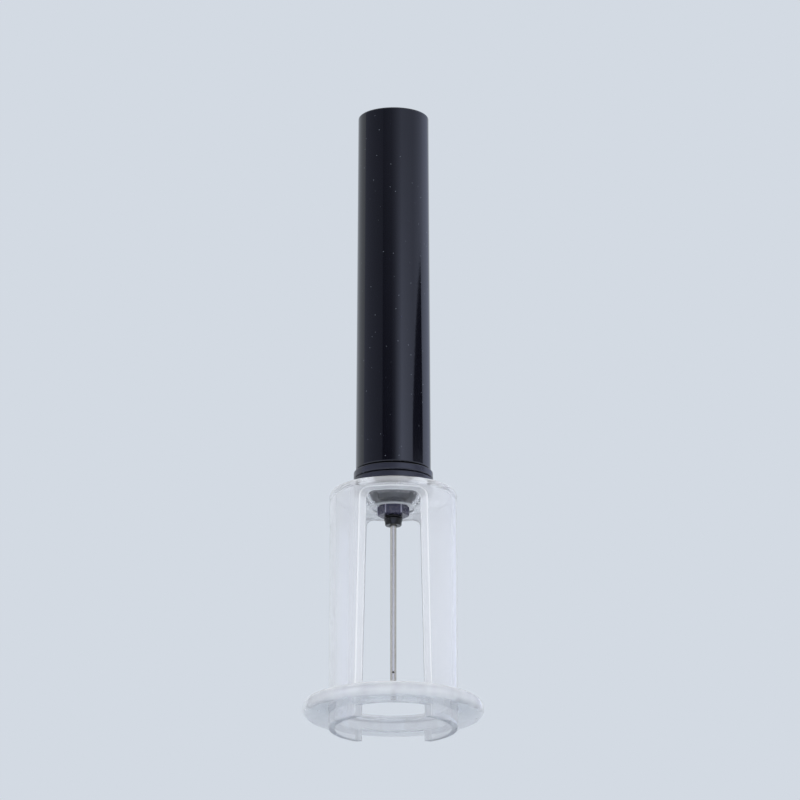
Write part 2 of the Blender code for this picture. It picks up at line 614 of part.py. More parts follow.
def make_check_valve(seat_material, ball_material, spring_material, cage_material):
    """The seat, ball, spring and cage of the check valve, in the piston's chamber."""
    outer = VALVE_CHAMBER_RADIUS - FIXED_GAP
    seat = ring_outline(VALVE_SEAT_HOLE_RADIUS, outer, VALVE_SEAT_BOTTOM_Z, VALVE_SEAT_TOP_Z)
    turned("valve_seat", seat, seat_material, SMALL_SEGMENTS)
    seated_drop = math.sqrt(BALL_RADIUS ** 2 - VALVE_SEAT_HOLE_RADIUS ** 2)
    ball_z = VALVE_SEAT_BOTTOM_Z - VALVE_GAP - seated_drop
    half_circle = [math.pi * i / SECTION_POINTS - math.pi / 2 for i in range(1, SECTION_POINTS)]
    ball_outline = [(BALL_RADIUS * math.cos(a), ball_z + BALL_RADIUS * math.sin(a)) for a in half_circle]
    poles = [(0, ball_z + BALL_RADIUS), (0, ball_z - BALL_RADIUS)]
    turned("valve_ball", ball_outline + poles, ball_material, SMALL_SEGMENTS)
    cage = ring_outline(CAGE_HOLE_RADIUS, outer, CAGE_BOTTOM_Z, CAGE_TOP_Z)
    turned("valve_cage", cage, cage_material, SMALL_SEGMENTS)
    make_valve_spring(ball_z, spring_material)


def make_valve_spring(ball_z, material):
    """The helical spring between the cage and the ball."""
    reach = BALL_RADIUS + SPRING_WIRE_RADIUS + VALVE_GAP
    top_z = ball_z - math.sqrt(reach ** 2 - SPRING_COIL_RADIUS ** 2)
    bottom_z = CAGE_TOP_Z + SPRING_WIRE_RADIUS + VALVE_GAP
    last = round(SPRING_TURNS * SPRING_POINTS_PER_TURN)
    curve = bpy.data.curves.new("valve_spring", "CURVE")
    curve.dimensions = "3D"
    curve.bevel_depth = SPRING_WIRE_RADIUS
    curve.bevel_resolution = WIRE_RESOLUTION
    curve.use_fill_caps = True
    spline = curve.splines.new("POLY")
    spline.points.add(last)
    for i, point in enumerate(spline.points):
        angle = 2 * math.pi * i / SPRING_POINTS_PER_TURN
        x = SPRING_COIL_RADIUS * math.cos(angle)
        y = SPRING_COIL_RADIUS * math.sin(angle)
        point.co = (x, y, bottom_z + (top_z - bottom_z) * i / last, 1)
    curve.materials.append(material)
    spring = bpy.data.objects.new("valve_spring", curve)
    bpy.context.scene.collection.objects.link(spring)


def place_on_joint(names, joint_name, height):
    """Parents the pieces of one moving group to an empty at the joint, at the given height."""
    joint = bpy.data.objects.new(joint_name, None)
    joint.location.z = height
    bpy.context.scene.collection.objects.link(joint)
    for name in names:
        part = bpy.data.objects[name]
        part.parent = joint
        part.location.z -= height


def main():
    for part in list(bpy.data.objects):
        bpy.data.objects.remove(part)
    black = make_material("moulded_black_abs", (0.012, 0.012, 0.016), 0.12)
    grey = make_material("moulded_dark_grey_abs", (0.05, 0.05, 0.07), 0.25)
    clear = make_material("moulded_clear_styrene", (0.95, 0.97, 1.0), 0.03, transmission=1.0)
    steel = make_material("ground_stainless_steel", (0.62, 0.6, 0.58), 0.22, metallic=1.0)
    aluminium = make_material("drawn_aluminium", (0.75, 0.76, 0.78), 0.3, metallic=1.0)
    white = make_material("moulded_acetal", (0.82, 0.82, 0.8), 0.4)
    rubber = make_material("moulded_rubber", (0.02, 0.02, 0.02), 0.6)

    make_bottle_guide(clear)
    make_nose_cone(black)
    make_base_collar(black)
    make_base_rings(rubber)
    make_needle_nut(grey)
    make_needle_hub(black)
    make_hub_gasket(rubber)
    make_needle(steel)
    make_piston_tube(aluminium)
    make_stroke_bumper(rubber)
    make_piston(white, rubber)
    make_check_valve(rubber, steel, steel, white)
    make_handle_sleeve(black)
    make_end_cap(black, rubber)
    make_pump_barrel(aluminium)
    make_barrel_bush(white)

    handle = ("handle_sleeve", "end_cap", "cap_seal", "pump_barrel", "barrel_bush")
    place_on_joint(handle, "handle_joint", SLEEVE_BOTTOM_Z)
    place_on_joint(("bottle_guide",), "guide_joint", GUIDE_TOP_Z)
    place_on_joint(("valve_ball",), "valve_joint", VALVE_SEAT_BOTTOM_Z)


if __name__ == "__main__":
    main()
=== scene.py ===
"""Air pump wine opener: the finish of its pieces, a pale studio and the camera.

Metres, +Z up along the pump's axis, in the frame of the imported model. The places of the
pieces come from that model, and what is set here is the fine shape and the finish.
"""

import math

import bmesh
import bpy
import numpy as np
from bpy.props import FloatProperty, FloatVectorProperty, IntProperty, PointerProperty
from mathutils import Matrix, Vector


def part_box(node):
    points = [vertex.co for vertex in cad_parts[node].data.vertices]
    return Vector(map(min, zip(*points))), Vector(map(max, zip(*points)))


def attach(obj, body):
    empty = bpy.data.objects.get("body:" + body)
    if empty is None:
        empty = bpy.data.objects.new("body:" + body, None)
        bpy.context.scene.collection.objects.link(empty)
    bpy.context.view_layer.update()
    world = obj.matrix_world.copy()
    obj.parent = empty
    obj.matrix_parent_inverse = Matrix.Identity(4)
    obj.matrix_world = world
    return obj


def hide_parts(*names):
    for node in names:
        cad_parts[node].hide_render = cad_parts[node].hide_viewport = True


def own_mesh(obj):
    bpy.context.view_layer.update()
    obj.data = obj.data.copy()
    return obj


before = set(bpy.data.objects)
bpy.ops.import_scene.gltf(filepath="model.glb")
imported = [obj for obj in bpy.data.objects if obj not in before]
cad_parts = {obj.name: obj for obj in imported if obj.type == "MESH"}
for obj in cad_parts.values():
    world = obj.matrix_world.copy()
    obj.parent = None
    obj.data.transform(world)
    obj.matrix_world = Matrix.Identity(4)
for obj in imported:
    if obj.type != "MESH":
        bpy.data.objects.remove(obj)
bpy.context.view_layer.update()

bl_info = {
    "name": "Air pump wine opener",
    "version": (1, 0, 0),
    "blender": (4, 5, 0),
    "location": "3D View > Sidebar > Wine opener",
    "description": "Adds a hand pump with a hollow needle and a clear bottle guide",
    "category": "Add Mesh",
}

MM = 0.001
FIXED_GAP = 0.3 * MM          # between pieces that are screwed, pressed or laid together
RUNNING_GAP = 0.4 * MM        # between pieces that slide on each other
FILLET_SPACE_SHARE = 0.96     # the most of a side that the fillets at its ends take up
CORNER_STEPS = 6
SHARP_ANGLE = math.radians(32)
MERGE_DISTANCE = 0.001 * MM
CUT_OVERRUN = 1 * MM
EDGE_ROW = 0.15 * MM          # width of the row beside an edge of a turned piece
NUT_SIDES = 6
NUT_EDGE_STEPS = 3
ROUND_PROFILE = 0.5           # the profile of a bevel that is an arc
CUT_ROWS = (0.12, 0.88)       # rows across the guide's cut faces, as shares of its wall
CARD_STEPS = 16
SENSOR_WIDTH = 36 * MM
FRAME_WIDTH = 800             # pixels across the picture
CLIP_START = 0.1              # nearest and farthest that the camera sees, in metres
CLIP_END = 20
MIX_FACTOR = 0                # sockets of the Mix node for colours
MIX_A = 6
MIX_B = 7
MIX_RESULT = 2
PAINTED_PIPED_LIGHT = "edge_light"     # how much piped light is painted on a point of the clear guide as diffuse white, from 0 to 1
CARD_GLOW = "card_glow"       # how bright a stage card is at a point

# Edges of the stage cards: bearing in degrees, 0 at the camera, and the glow low down and high up
CARD_EDGES = (
    (-103, 0.6, 0.5),
    (-34, 0.30, 0.30),
    (-33.5, 0.03, 0.22),
    (-6, 0.08, 0.36),
    (4, 0.34, 0.55),
    (26, 2.0, 1.05),
    (66, 1.15, 0.88),
    (112, 1.3, 1.2),
    (150, 0.7, 0.7),
)
FLAG_LEFT = 62                # bearings of the dark flag on the right, which narrows to its top
FLAG_RIGHT = 103
FLAG_TOP = 98
FLAG_GLOW = 0.04              # how bright the flag is


# Properties

def linear(hex_colour):
    """The scene-linear colour of an sRGB hex value."""
    levels = [int(hex_colour[start:start + 2], 16) / 255 for start in (1, 3, 5)]
    return tuple(v / 12.92 if v <= 0.04045 else ((v + 0.055) / 1.055) ** 2.4 for v in levels)


def length(name, default, description):
    """A length property, in metres."""
    return FloatProperty(
        name=name, description=description, default=default, min=0, precision=5, unit="LENGTH",
    )


def share(name, default, description):
    """A property from 0 to 1."""
    return FloatProperty(
        name=name, description=description, default=default, min=0, max=1, subtype="FACTOR",
    )


def amount(name, default, description):
    """A property of no unit, from 0 up."""
    return FloatProperty(name=name, description=description, default=default, min=0)


def position(name, default, description):
    """A place in the frame, in metres."""
    return FloatVectorProperty(
        name=name, description=description, default=default, size=3, subtype="TRANSLATION", unit="LENGTH",
    )


def tint(name, default, description):
    """A colour property, with its default as an sRGB hex value."""
    return FloatVectorProperty(
        name=name, description=description, default=linear(default), size=3, min=0, max=1,
        subtype="COLOR",
    )


def count(name, default, description):
    """A whole number property."""
    return IntProperty(name=name, description=description, default=default, min=3)


class OpenerHandleSettings(bpy.types.PropertyGroup):
    """Sizes of the sleeve and of the plug in its upper end."""

    segments: count("Segments", 160, "Faces round the large turned pieces")
    top_radius: length("Top radius", 13.65 * MM, "Outer radius at the sleeve's upper end")
    top_edge: length("Top edge", 1.3 * MM, "Rounding of the sleeve's upper edge")
    bottom_edge: length("Bottom edge", 0.45 * MM, "Rounding of the sleeve's lower edge")
    bore_edge: length("Bore edge", 0.15 * MM, "Rounding at the ends of the bore")
    cap_edge: length("Cap edge", 0.6 * MM, "Rounding of the plug's upper edge")
    cap_plate: length("Cap plate", 3 * MM, "Thickness of the plug's plate")
    cap_crown: length("Cap crown", 0.35 * MM, "How much higher the plug is in its middle")
    gate_radius: length("Gate radius", 1.3 * MM, "Radius of the dimple at the moulding gate")
    gate_depth: length("Gate depth", 0.35 * MM, "Depth of the dimple at the moulding gate")


class OpenerBaseSettings(bpy.types.PropertyGroup):
    """Sizes of the collar, the nose and the rings between them."""

    band_edge: length("Band edge", 0.55 * MM, "Rounding of the bands under the sleeve")
    collar_skirt_radius: length("Collar skirt radius", 11.2 * MM, "Outer radius of the collar's skirt")
    collar_ledge: length("Collar ledge", 1.2 * MM, "Thickness of the floor under the piston tube")
    ring_inner_radius: length("Landing ring bore", 11.8 * MM, "Inner radius of the ring under the sleeve")
    cone_top_radius: length("Cone top radius", 10.1 * MM, "Radius of the nose's cone under its flange")
    cone_bottom_radius: length("Cone bottom radius", 7.6 * MM, "Radius of the nose's cone at its lower end")
    cone_edge: length("Cone edge", 0.35 * MM, "Rounding of the nose's lower edge")
    boss_radius: length("Boss radius", 5.3 * MM, "Radius of the boss under the cone, which carries the nut")
    boss_height: length("Boss height", 2 * MM, "Height of the boss under the cone")
    chamber_radius: length("Chamber radius", 5.2 * MM, "Radius of the air chamber in the nose")
    floor_thickness: length("Floor thickness", 1.4 * MM, "Thickness of the nose's floor")
    tube_wall: length("Tube wall", 1.4 * MM, "Wall of the piston tube")
    tube_edge: length("Tube edge", 0.3 * MM, "Rounding of the piston tube's ends")


class OpenerNeedleSettings(bpy.types.PropertyGroup):
    """Sizes of the lock nut, the hub and the needle."""

    segments: count("Segments", 64, "Faces round the small turned pieces")
    across_flats: length("Across flats", 10.7 * MM, "Width of the nut across its flats")
    nut_edge: length("Nut edge", 0.3 * MM, "Rounding of the nut's edges")
    stem_radius: length("Stem radius", 2.3 * MM, "Radius of the hub's stem in the nose")
    hub_bottom_radius: length("Hub bottom radius", 3.1 * MM, "Radius of the hub where the needle comes out")
    hub_lip: length("Hub lip", 0.8 * MM, "Height of the lip at the hub's upper end")
    hub_lip_step: length("Hub lip step", 0.2 * MM, "How far the lip stands proud of the hub")
    hub_edge: length("Hub edge", 0.25 * MM, "Rounding of the hub's edges")
    needle_edge: length("Needle edge", 0.14 * MM, "Rounding of the needle's upper end")
    bore_radius: length("Bore radius", 0.65 * MM, "Radius of the needle's bore")
    point_length: length("Point length", 5 * MM, "Length of the needle's ground point")
    solid_length: length("Solid end", 7 * MM, "Length of the needle below its bore")
    port_radius: length("Port radius", 0.45 * MM, "Radius of the air port in the needle's side")


class OpenerGuideSettings(bpy.types.PropertyGroup):
    """Sizes of the clear guide."""

    wall: length("Wall", 2.2 * MM, "Thickness of the guide's legs")
    radius: length("Radius", 24.5 * MM, "Outer radius of the guide at its shoulder")
    draft: length("Draft", 0.2 * MM, "How much wider the guide is at its lower end")
    shoulder: length("Shoulder", 2.4 * MM, "Rounding of the guide's shoulder")
    plate: length("Plate", 2.4 * MM, "Thickness of the guide's top")
    rim_thickness: length("Rim thickness", 5.5 * MM, "Thickness of the wide rim")
    rim_edge: length("Rim edge", 2.2 * MM, "Rounding of the rim's edge")
    spigot: length("Spigot", 5 * MM, "Height of the spigot under the rim")
    small_edge: length("Small edge", 0.6 * MM, "Rounding of the spigot's lower edge")
    inner_fillet: length("Inner fillet", 0.7 * MM, "Fillet in the guide's inner corners")
    cup_depth: length("Cup depth", 7 * MM, "Depth of the cup that holds the nose")
    cup_top_radius: length("Cup top radius", 12.7 * MM, "Outer radius of the cup under the plate")
    cup_bottom_radius: length("Cup bottom radius", 8.8 * MM, "Outer radius of the cup's lower end")
    cup_rounding: length("Cup rounding", 3 * MM, "Rounding of the cup's side")
    window_drop: length("Window drop", 4.4 * MM, "From the guide's top to the window's upper edge")
    window_top: length("Window top", 12.8 * MM, "Half the window's width at its upper end")
    window_bottom: length("Window bottom", 14.5 * MM, "Half the window's width at its lower end")
    window_flare: length("Window flare", 2.64 * MM, "How much narrower the window is inside, at each side")
    window_corner: length("Window corner", 2.8 * MM, "Rounding of the window's upper corners")
    window_top_slope: length("Window top slope", 1.1 * MM, "How much lower the window's upper edge is inside")
    window_sill: length("Window sill", 0.4 * MM, "From the rim to the window, and to the slot under it")
    row_spacing: length("Row spacing", 1.6 * MM, "Longest face along the guide's outline")
    edge_spacing: length("Edge spacing", 0.3 * MM, "Width of the narrow faces beside an edge")
    # These lights are painted: a share of diffuse white on the guide stands in for the light that its walls
    # pipe out
    cut_light: share("Cut light", 0.45, "Light that comes out between the edges of the windows' cut faces")
    rim_light: share("Rim light", 0.38, "Light that comes out at the rim")
    leg_light: share("Leg light", 0.28, "Light that comes out at the legs and the spigot")
    shoulder_light: share("Shoulder light", 0.35, "Light that comes out at the shoulder")
    cup_light: share("Cup light", 0.6, "Light that comes out at the cup's lower edge")
    leg_columns: count("Leg columns", 62, "Faces across each leg")
    window_columns: count("Window columns", 34, "Faces across each window")


class OpenerValveSettings(bpy.types.PropertyGroup):
    """Sizes of the check valve's spring."""

    wire_radius: length("Wire radius", 0.2 * MM, "Radius of the spring's wire")
    turns: amount("Turns", 4.5, "Turns of the spring")
    steps: count("Steps", 28, "Faces along each turn of the spring")
    wire_sides: count("Wire sides", 10, "Faces round the wire")


class OpenerFinishSettings(bpy.types.PropertyGroup):
    """Colours of the pieces."""

    gloss_black: tint("Polished black ABS", "#0b0b13", "Sleeve and its plug")
    satin_black: tint("Satin black ABS", "#20212d", "Collar and nose")
    hub_black: tint("Hub black", "#07070a", "Hub of the needle")
    nut_grey: tint("Nut grey", "#4d4b5e", "Lock nut")
    # The nut's edges are painted pale as a highlight, where their rounding would glint
    nut_edge: tint("Nut edge", "#b3b0c2", "Rubbed edges of the lock nut")
    clear: tint("Clear styrene", "#fdfdfe", "Bottle guide")
    steel: tint("Stainless steel", "#d6d1c9", "Needle, ball and spring")
    aluminium: tint("Aluminium", "#c9cbcf", "Piston tube and barrel")
    acetal: tint("Acetal", "#e9e8e3", "Bush, piston and cage")
    rubber: tint("Rubber", "#1a1a1b", "Seals and rings")
    dust: tint("Dust", "#6a6f79", "Specks on the gloss pieces")


class OpenerStageSettings(bpy.types.PropertyGroup):
    """The studio and the camera."""

    backdrop: tint("Backdrop", "#d3dae3", "Colour of the background")
    floor: tint("Floor", "#cfd6df", "Colour of the floor")
    floor_half: length("Floor half", 3, "Half the side of the square floor")
    room_light: amount("Room light", 1.0, "Strength of the even light from all round")
    lamp_size: length("Lamp size", 1, "Side of the square lamps")
    key_place: position("Key place", (0.9, -0.9, 1.3), "Where the stronger lamp is")
    key_power: amount("Key power", 6, "Power of the stronger lamp, in watts")
    fill_place: position("Fill place", (-1.1, -0.5, 0.9), "Where the weaker lamp is")
    fill_power: amount("Fill power", 2, "Power of the weaker lamp, in watts")
    card_tint: tint("Card tint", "#d7e1ff", "Colour of the light cards that the gloss mirrors")
    card_distance: length("Card distance", 1.6, "From the axis to the cards")
    card_reach: length("Card reach", 2, "How far the cards reach up, and down")
    card_foot_height: length("Card foot height", 0.52, "Height below which the cards are bright")
    card_foot_fade: length("Card foot fade", 0.04, "How far up the bright foot of the cards fades out")
    foot_glow: amount("Foot glow", 1.3, "How bright the foot of the cards is")
    card_low_height: length("Card low height", 0.6, "Height that the sleeve's lower end mirrors")
    card_high_height: length("Card high height", 0.81, "Height that the sleeve's upper end mirrors")
    flag_top_height: length("Flag top height", 0.7, "Height where the dark flag on the right ends")
    flag_gap: length("Flag gap", 0.05, "How far the dark flag is in front of the cards")
    camera_distance: length("Camera distance", 2.5, "From the camera to the point that it aims at")
    camera_elevation: FloatProperty(
        name="Camera elevation", description="Height of the camera above the horizon",
        default=math.radians(-17), subtype="ANGLE",
    )
    aim_height: length("Aim height", 0.1303, "Height on the axis that the camera aims at")
    aim_side: FloatProperty(
        name="Aim side", description="How far right of the axis the camera aims",
        default=2.55 * MM, precision=5, unit="LENGTH",
    )
    photo_scale: FloatProperty(
        name="Photo scale", description="Pixels of the photograph for each metre on the axis",
        default=2600, min=1,
    )


SETTINGS = {
    "opener_handle": OpenerHandleSettings,
    "opener_base": OpenerBaseSettings,
    "opener_needle": OpenerNeedleSettings,
    "opener_guide": OpenerGuideSettings,
    "opener_valve": OpenerValveSettings,
    "opener_finish": OpenerFinishSettings,
    "opener_stage": OpenerStageSettings,
}


# Materials

def add_node(tree, kind, inputs=None, **settings):
    """A node of that kind, with its settings, and its inputs set to values or linked to sockets."""
    node = tree.nodes.new(kind)
    for name, value in settings.items():
        setattr(node, name, value)
    for key, value in (inputs or {}).items():
        if isinstance(value, bpy.types.NodeSocket):
            tree.links.new(value, node.inputs[key])
        else:
            node.inputs[key].default_value = value
    return node


def empty_material(name):
    """A material of that name with no nodes, and its node tree."""
    material = bpy.data.materials.get(name) or bpy.data.materials.new(name)
    material.use_nodes = True
    material.node_tree.nodes.clear()
    return material, material.node_tree


def new_material(name, **inputs):
    """A material of one Principled shader with these inputs, its node tree and its shader."""
    material, tree = empty_material(name)
    settings = {key.replace("_", " ").title().replace("Ior", "IOR"): value for key, value in inputs.items()}
    shader = add_node(tree, "ShaderNodeBsdfPrincipled", settings)
    add_node(tree, "ShaderNodeOutputMaterial", {"Surface": shader.outputs["BSDF"]})
    return material, tree, shader


def place(tree, stretch=(1, 1, 1)):
    """The piece's own coordinates in metres, stretched by an amount along each axis."""
    coordinates = add_node(tree, "ShaderNodeTexCoord")
    mapping = add_node(tree, "ShaderNodeMapping", {"Vector": coordinates.outputs["Object"], "Scale": stretch})
    return mapping.outputs["Vector"]


def noise(tree, size, detail=2.0, stretch=(1, 1, 1)):
    """A noise whose lumps are about that size in metres, as a socket from 0 to 1."""
    texture = add_node(tree, "ShaderNodeTexNoise", {
        "Vector": place(tree, stretch), "Scale": 1 / size, "Detail": detail,
    })
    return texture.outputs["Fac"]


def clouds(tree, shader, colour, shades, size, detail=2.0):
    """Lets the base colour drift between two shades, each a share of a colour, in clouds of that size."""
    ends = [(*(channel * part for channel in colour), 1) for part in shades]
    mix = add_node(tree, "ShaderNodeMix", {
        MIX_FACTOR: noise(tree, size, detail), MIX_A: ends[0], MIX_B: ends[1],
    }, data_type="RGBA")
    tree.links.new(mix.outputs[MIX_RESULT], shader.inputs["Base Color"])


def dusted(tree, shader, colour, size, spacing):
    """Lays sparse round specks of a colour over the base colour."""
    below = shader.inputs["Base Color"].links[0].from_socket
    cells = add_node(tree, "ShaderNodeTexVoronoi", {"Vector": place(tree), "Scale": 1 / spacing})
    edge = size / spacing
    specks = add_node(tree, "ShaderNodeMapRange", {
        "Value": cells.outputs["Distance"], "From Min": edge, "From Max": edge / 2,
    })
    mix = add_node(tree, "ShaderNodeMix", {
        MIX_FACTOR: specks.outputs["Result"], MIX_A: below, MIX_B: (*colour, 1),
    }, data_type="RGBA")
    tree.links.new(mix.outputs[MIX_RESULT], shader.inputs["Base Color"])


def uneven(tree, shader, roughness, size, detail=2.0, stretch=(1, 1, 1)):
    """Lets the roughness drift between two values, in patches of that size in metres."""
    spread = add_node(tree, "ShaderNodeMapRange", {
        "Value": noise(tree, size, detail, stretch), "To Min": roughness[0], "To Max": roughness[1],
    })
    tree.links.new(spread.outputs["Result"], shader.inputs["Roughness"])


def grain(tree, shader, depth, size, detail=2.0, stretch=(1, 1, 1), over=None):
    """Raises a grain of that depth and size in metres, over an earlier one where it is given."""
    inputs = {"Height": noise(tree, size, detail, stretch), "Distance": depth}
    if over is not None:
        inputs["Normal"] = over
    bump = add_node(tree, "ShaderNodeBump", inputs)
    tree.links.new(bump.outputs["Normal"], shader.inputs["Normal"])
    return bump.outputs["Normal"]


def polished_black_abs(finish):
    """ABS from a polished mould: a deep gloss that mirrors the studio, with orange peel and dust."""
    material, tree, shader = new_material("polished_black_abs", ior=1.5)
    clouds(tree, shader, finish.gloss_black, shades=(0.75, 1.25), size=24 * MM)
    dusted(tree, shader, finish.dust, size=0.22 * MM, spacing=3 * MM)
    uneven(tree, shader, roughness=(0.04, 0.09), size=9 * MM, detail=4)
    peel = grain(tree, shader, depth=0.003 * MM, size=2.4 * MM, detail=1)
    # Hairlines from wiping, coarser than real ones so that they show
    grain(tree, shader, depth=0.0006 * MM, size=0.5 * MM, detail=3, stretch=(1, 1, 0.03), over=peel)
    return material


def satin_black_abs(finish):
    """ABS from a fine-eroded mould: a soft sheen, with a grain drawn coarse enough to show."""
    material, tree, shader = new_material("satin_black_abs", ior=1.5)
    clouds(tree, shader, finish.satin_black, shades=(0.8, 1.2), size=6 * MM)
    uneven(tree, shader, roughness=(0.14, 0.24), size=3 * MM, detail=3)
    grain(tree, shader, depth=0.003 * MM, size=0.22 * MM)
    return material


def hub_black_abs(finish):
    """ABS moulded round the needle: black and glossy, with faint flow marks."""
    material, tree, shader = new_material("hub_black_abs", ior=1.5)
    clouds(tree, shader, finish.hub_black, shades=(0.7, 1.4), size=3 * MM)
    uneven(tree, shader, roughness=(0.16, 0.3), size=2 * MM)
    grain(tree, shader, depth=0.008 * MM, size=0.9 * MM, stretch=(1, 1, 0.4))
    return material


def dark_grey_abs(finish):
    """ABS from a machined mould: grey with a slight gloss on the nut's flats."""
    material, tree, shader = new_material("dark_grey_abs", ior=1.5)
    clouds(tree, shader, finish.nut_grey, shades=(0.85, 1.15), size=2.5 * MM)
    uneven(tree, shader, roughness=(0.2, 0.34), size=1.5 * MM, detail=3)
    grain(tree, shader, depth=0.003 * MM, size=0.3 * MM, stretch=(1, 1, 0.15))
    return material


def painted_glint_grey_abs(finish):
    """The same ABS on the nut's edges, painted pale as a highlight where their rounding would glint, and a
    little duller.
    """
    material, tree, shader = new_material("painted_glint_grey_abs", ior=1.5)
    clouds(tree, shader, finish.nut_edge, shades=(0.8, 1), size=1.2 * MM, detail=3)
    uneven(tree, shader, roughness=(0.25, 0.4), size=0.8 * MM, detail=3)
    grain(tree, shader, depth=0.004 * MM, size=0.25 * MM)
    return material


def clear_styrene(finish):
    """Injection-moulded clear polystyrene: water-clear walls, and edges painted white, a share of diffuse
    white in place of transmission that stands in for piped light.

    The walls take a lower index than the solid's 1.59, so that the light that real walls pass
    on in many bounces isn't lost, and the coat has the true index and gives the gloss.
    """
    material, tree, shader = new_material(
        "clear_styrene", ior=1.1, coat_weight=0.7, coat_ior=1.59, coat_roughness=0.02,
    )
    clouds(tree, shader, finish.clear, shades=(1, 0.985), size=20 * MM)
    piped = add_node(tree, "ShaderNodeAttribute", attribute_name=PAINTED_PIPED_LIGHT)
    # Streaks along the guide in the painted piped light
    streaks = add_node(tree, "ShaderNodeMapRange", {
        "Value": noise(tree, 6 * MM, detail=1, stretch=(1, 1, 0.02)), "From Min": 0.3, "From Max": 0.7,
        "To Min": 0.85, "To Max": 1.15,
    })
    light = add_node(tree, "ShaderNodeMath", {
        0: piped.outputs["Fac"], 1: streaks.outputs["Result"],
    }, operation="MULTIPLY")
    # The painted light takes transmission away, so that diffuse white shows in its place
    clearness = add_node(tree, "ShaderNodeMapRange", {
        "Value": light.outputs["Value"], "To Min": 0.98, "To Max": 0.2,
    })
    tree.links.new(clearness.outputs["Result"], shader.inputs["Transmission Weight"])
    uneven(tree, shader, roughness=(0.008, 0.05), size=5 * MM, detail=4)
    waves = grain(tree, shader, depth=0.06 * MM, size=16 * MM, detail=1, stretch=(1, 1, 0.35))
    grain(tree, shader, depth=0.0006 * MM, size=0.6 * MM, detail=3, stretch=(1, 1, 0.05), over=waves)
    return material


def ground_stainless_steel(finish):
    """Stainless steel ground between wheels: fine marks round the needle, with a soft mirror."""
    material, tree, shader = new_material("ground_stainless_steel", metallic=1.0)
    clouds(tree, shader, finish.steel, shades=(0.88, 1), size=4 * MM)
    # Grinding marks, coarser than real ones so that they show
    marks = {"size": 0.25 * MM, "detail": 4, "stretch": (0.05, 0.05, 1)}
    uneven(tree, shader, roughness=(0.16, 0.32), **marks)
    grain(tree, shader, depth=0.002 * MM, **marks)
    return material


def polished_steel(finish):
    """Stainless steel lapped to a mirror, for the valve's ball, with a few handling marks."""
    material, tree, shader = new_material("polished_steel", metallic=1.0)
    clouds(tree, shader, finish.steel, shades=(0.92, 1), size=1.5 * MM)
    uneven(tree, shader, roughness=(0.05, 0.12), size=0.6 * MM, detail=3)
    return material


def drawn_aluminium(finish):
    """Aluminium tube drawn through a die: fine lines along its length, under a trace of grease."""
    material, tree, shader = new_material("drawn_aluminium", metallic=1.0)
    clouds(tree, shader, finish.aluminium, shades=(0.86, 1), size=12 * MM, detail=3)
    # Lines from the die, coarser than real ones so that they show
    lines = {"size": 0.35 * MM, "detail": 4, "stretch": (1, 1, 0.01)}
    uneven(tree, shader, roughness=(0.2, 0.38), **lines)
    grain(tree, shader, depth=0.0025 * MM, **lines)
    return material


def moulded_acetal(finish):
    """Natural acetal: milk-white and waxy, with turned or moulded fine rings."""
    material, tree, shader = new_material(
        "moulded_acetal", ior=1.48, subsurface_weight=0.15, subsurface_scale=1 * MM,
    )
    clouds(tree, shader, finish.acetal, shades=(0.93, 1), size=7 * MM)
    uneven(tree, shader, roughness=(0.32, 0.46), size=2 * MM, detail=3)
    grain(tree, shader, depth=0.003 * MM, size=0.3 * MM, stretch=(0.1, 0.1, 1))
    return material


def moulded_rubber(finish):
    """Nitrile rubber: black and matt, with a greyish bloom and a fine mould grain."""
    material, tree, shader = new_material("moulded_rubber", ior=1.52)
    clouds(tree, shader, finish.rubber, shades=(0.7, 1.8), size=1.8 * MM, detail=4)
    uneven(tree, shader, roughness=(0.5, 0.72), size=1.2 * MM, detail=3)
    grain(tree, shader, depth=0.01 * MM, size=0.2 * MM)
    return material


# Frame sizes

def low(node):
    """The lowest height of a node of the frame."""
    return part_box(node)[0].z


def high(node):
    """The highest height of a node of the frame."""
    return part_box(node)[1].z


def outer(node):
    """The outer radius of a node of the frame."""
    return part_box(node)[1].x


# Meshes

def free_length(corner, neighbour):
    """The length that a corner's fillet may take up on the side to its neighbour."""
    side = math.hypot(neighbour[0] - corner[0], neighbour[1] - corner[1]) * FILLET_SPACE_SHARE
    return side / 2 if neighbour[2] else side


def rounded(corners, closed=True):
    """Points of an outline of (radius, height, fillet), with its fillets as arcs."""
    points = []
    last = len(corners) - 1
    for index, (r, z, fillet) in enumerate(corners):
        if fillet == 0 or (not closed and index in (0, last)):
            points.append((r, z))
            continue
        before = corners[index - 1]
        after = corners[(index + 1) % len(corners)]
        to_before = math.atan2(before[1] - z, before[0] - r)
        to_after = math.atan2(after[1] - z, after[0] - r)
        opening = (to_after - to_before + math.pi) % (2 * math.pi) - math.pi
        space = min(free_length(corners[index], before), free_length(corners[index], after))
        fillet = min(fillet, space * abs(math.tan(opening / 2)))
        to_centre = to_before + opening / 2
        distance = fillet / abs(math.sin(opening / 2))
        centre_r = r + distance * math.cos(to_centre)
        centre_z = z + distance * math.sin(to_centre)
        turn = math.copysign(math.pi - abs(opening), -opening)
        for step in range(CORNER_STEPS + 1):
            angle = to_centre + math.pi + turn * (step / CORNER_STEPS - 1 / 2)
            points.append((centre_r + fillet * math.cos(angle), centre_z + fillet * math.sin(angle)))
    return points


def add_object(name, data):
    """An object with that data, linked to the scene."""
    made = bpy.data.objects.new(name, data)
    bpy.context.scene.collection.objects.link(made)
    return made


def smooth(mesh):
    """Shades a mesh smooth, except across its sharp edges."""
    mesh.shade_smooth()
    mesh.set_sharp_from_angle(angle=SHARP_ANGLE)


def mesh_object(name, shape, material):
    """A smooth-shaded object from a bmesh, with its faces turned out."""
    bmesh.ops.remove_doubles(shape, verts=shape.verts, dist=MERGE_DISTANCE)
    bmesh.ops.recalc_face_normals(shape, faces=shape.faces)
    mesh = bpy.data.meshes.new(name)
    shape.to_mesh(mesh)
    shape.free()
    smooth(mesh)
    mesh.materials.append(material)
    return add_object(name, mesh)


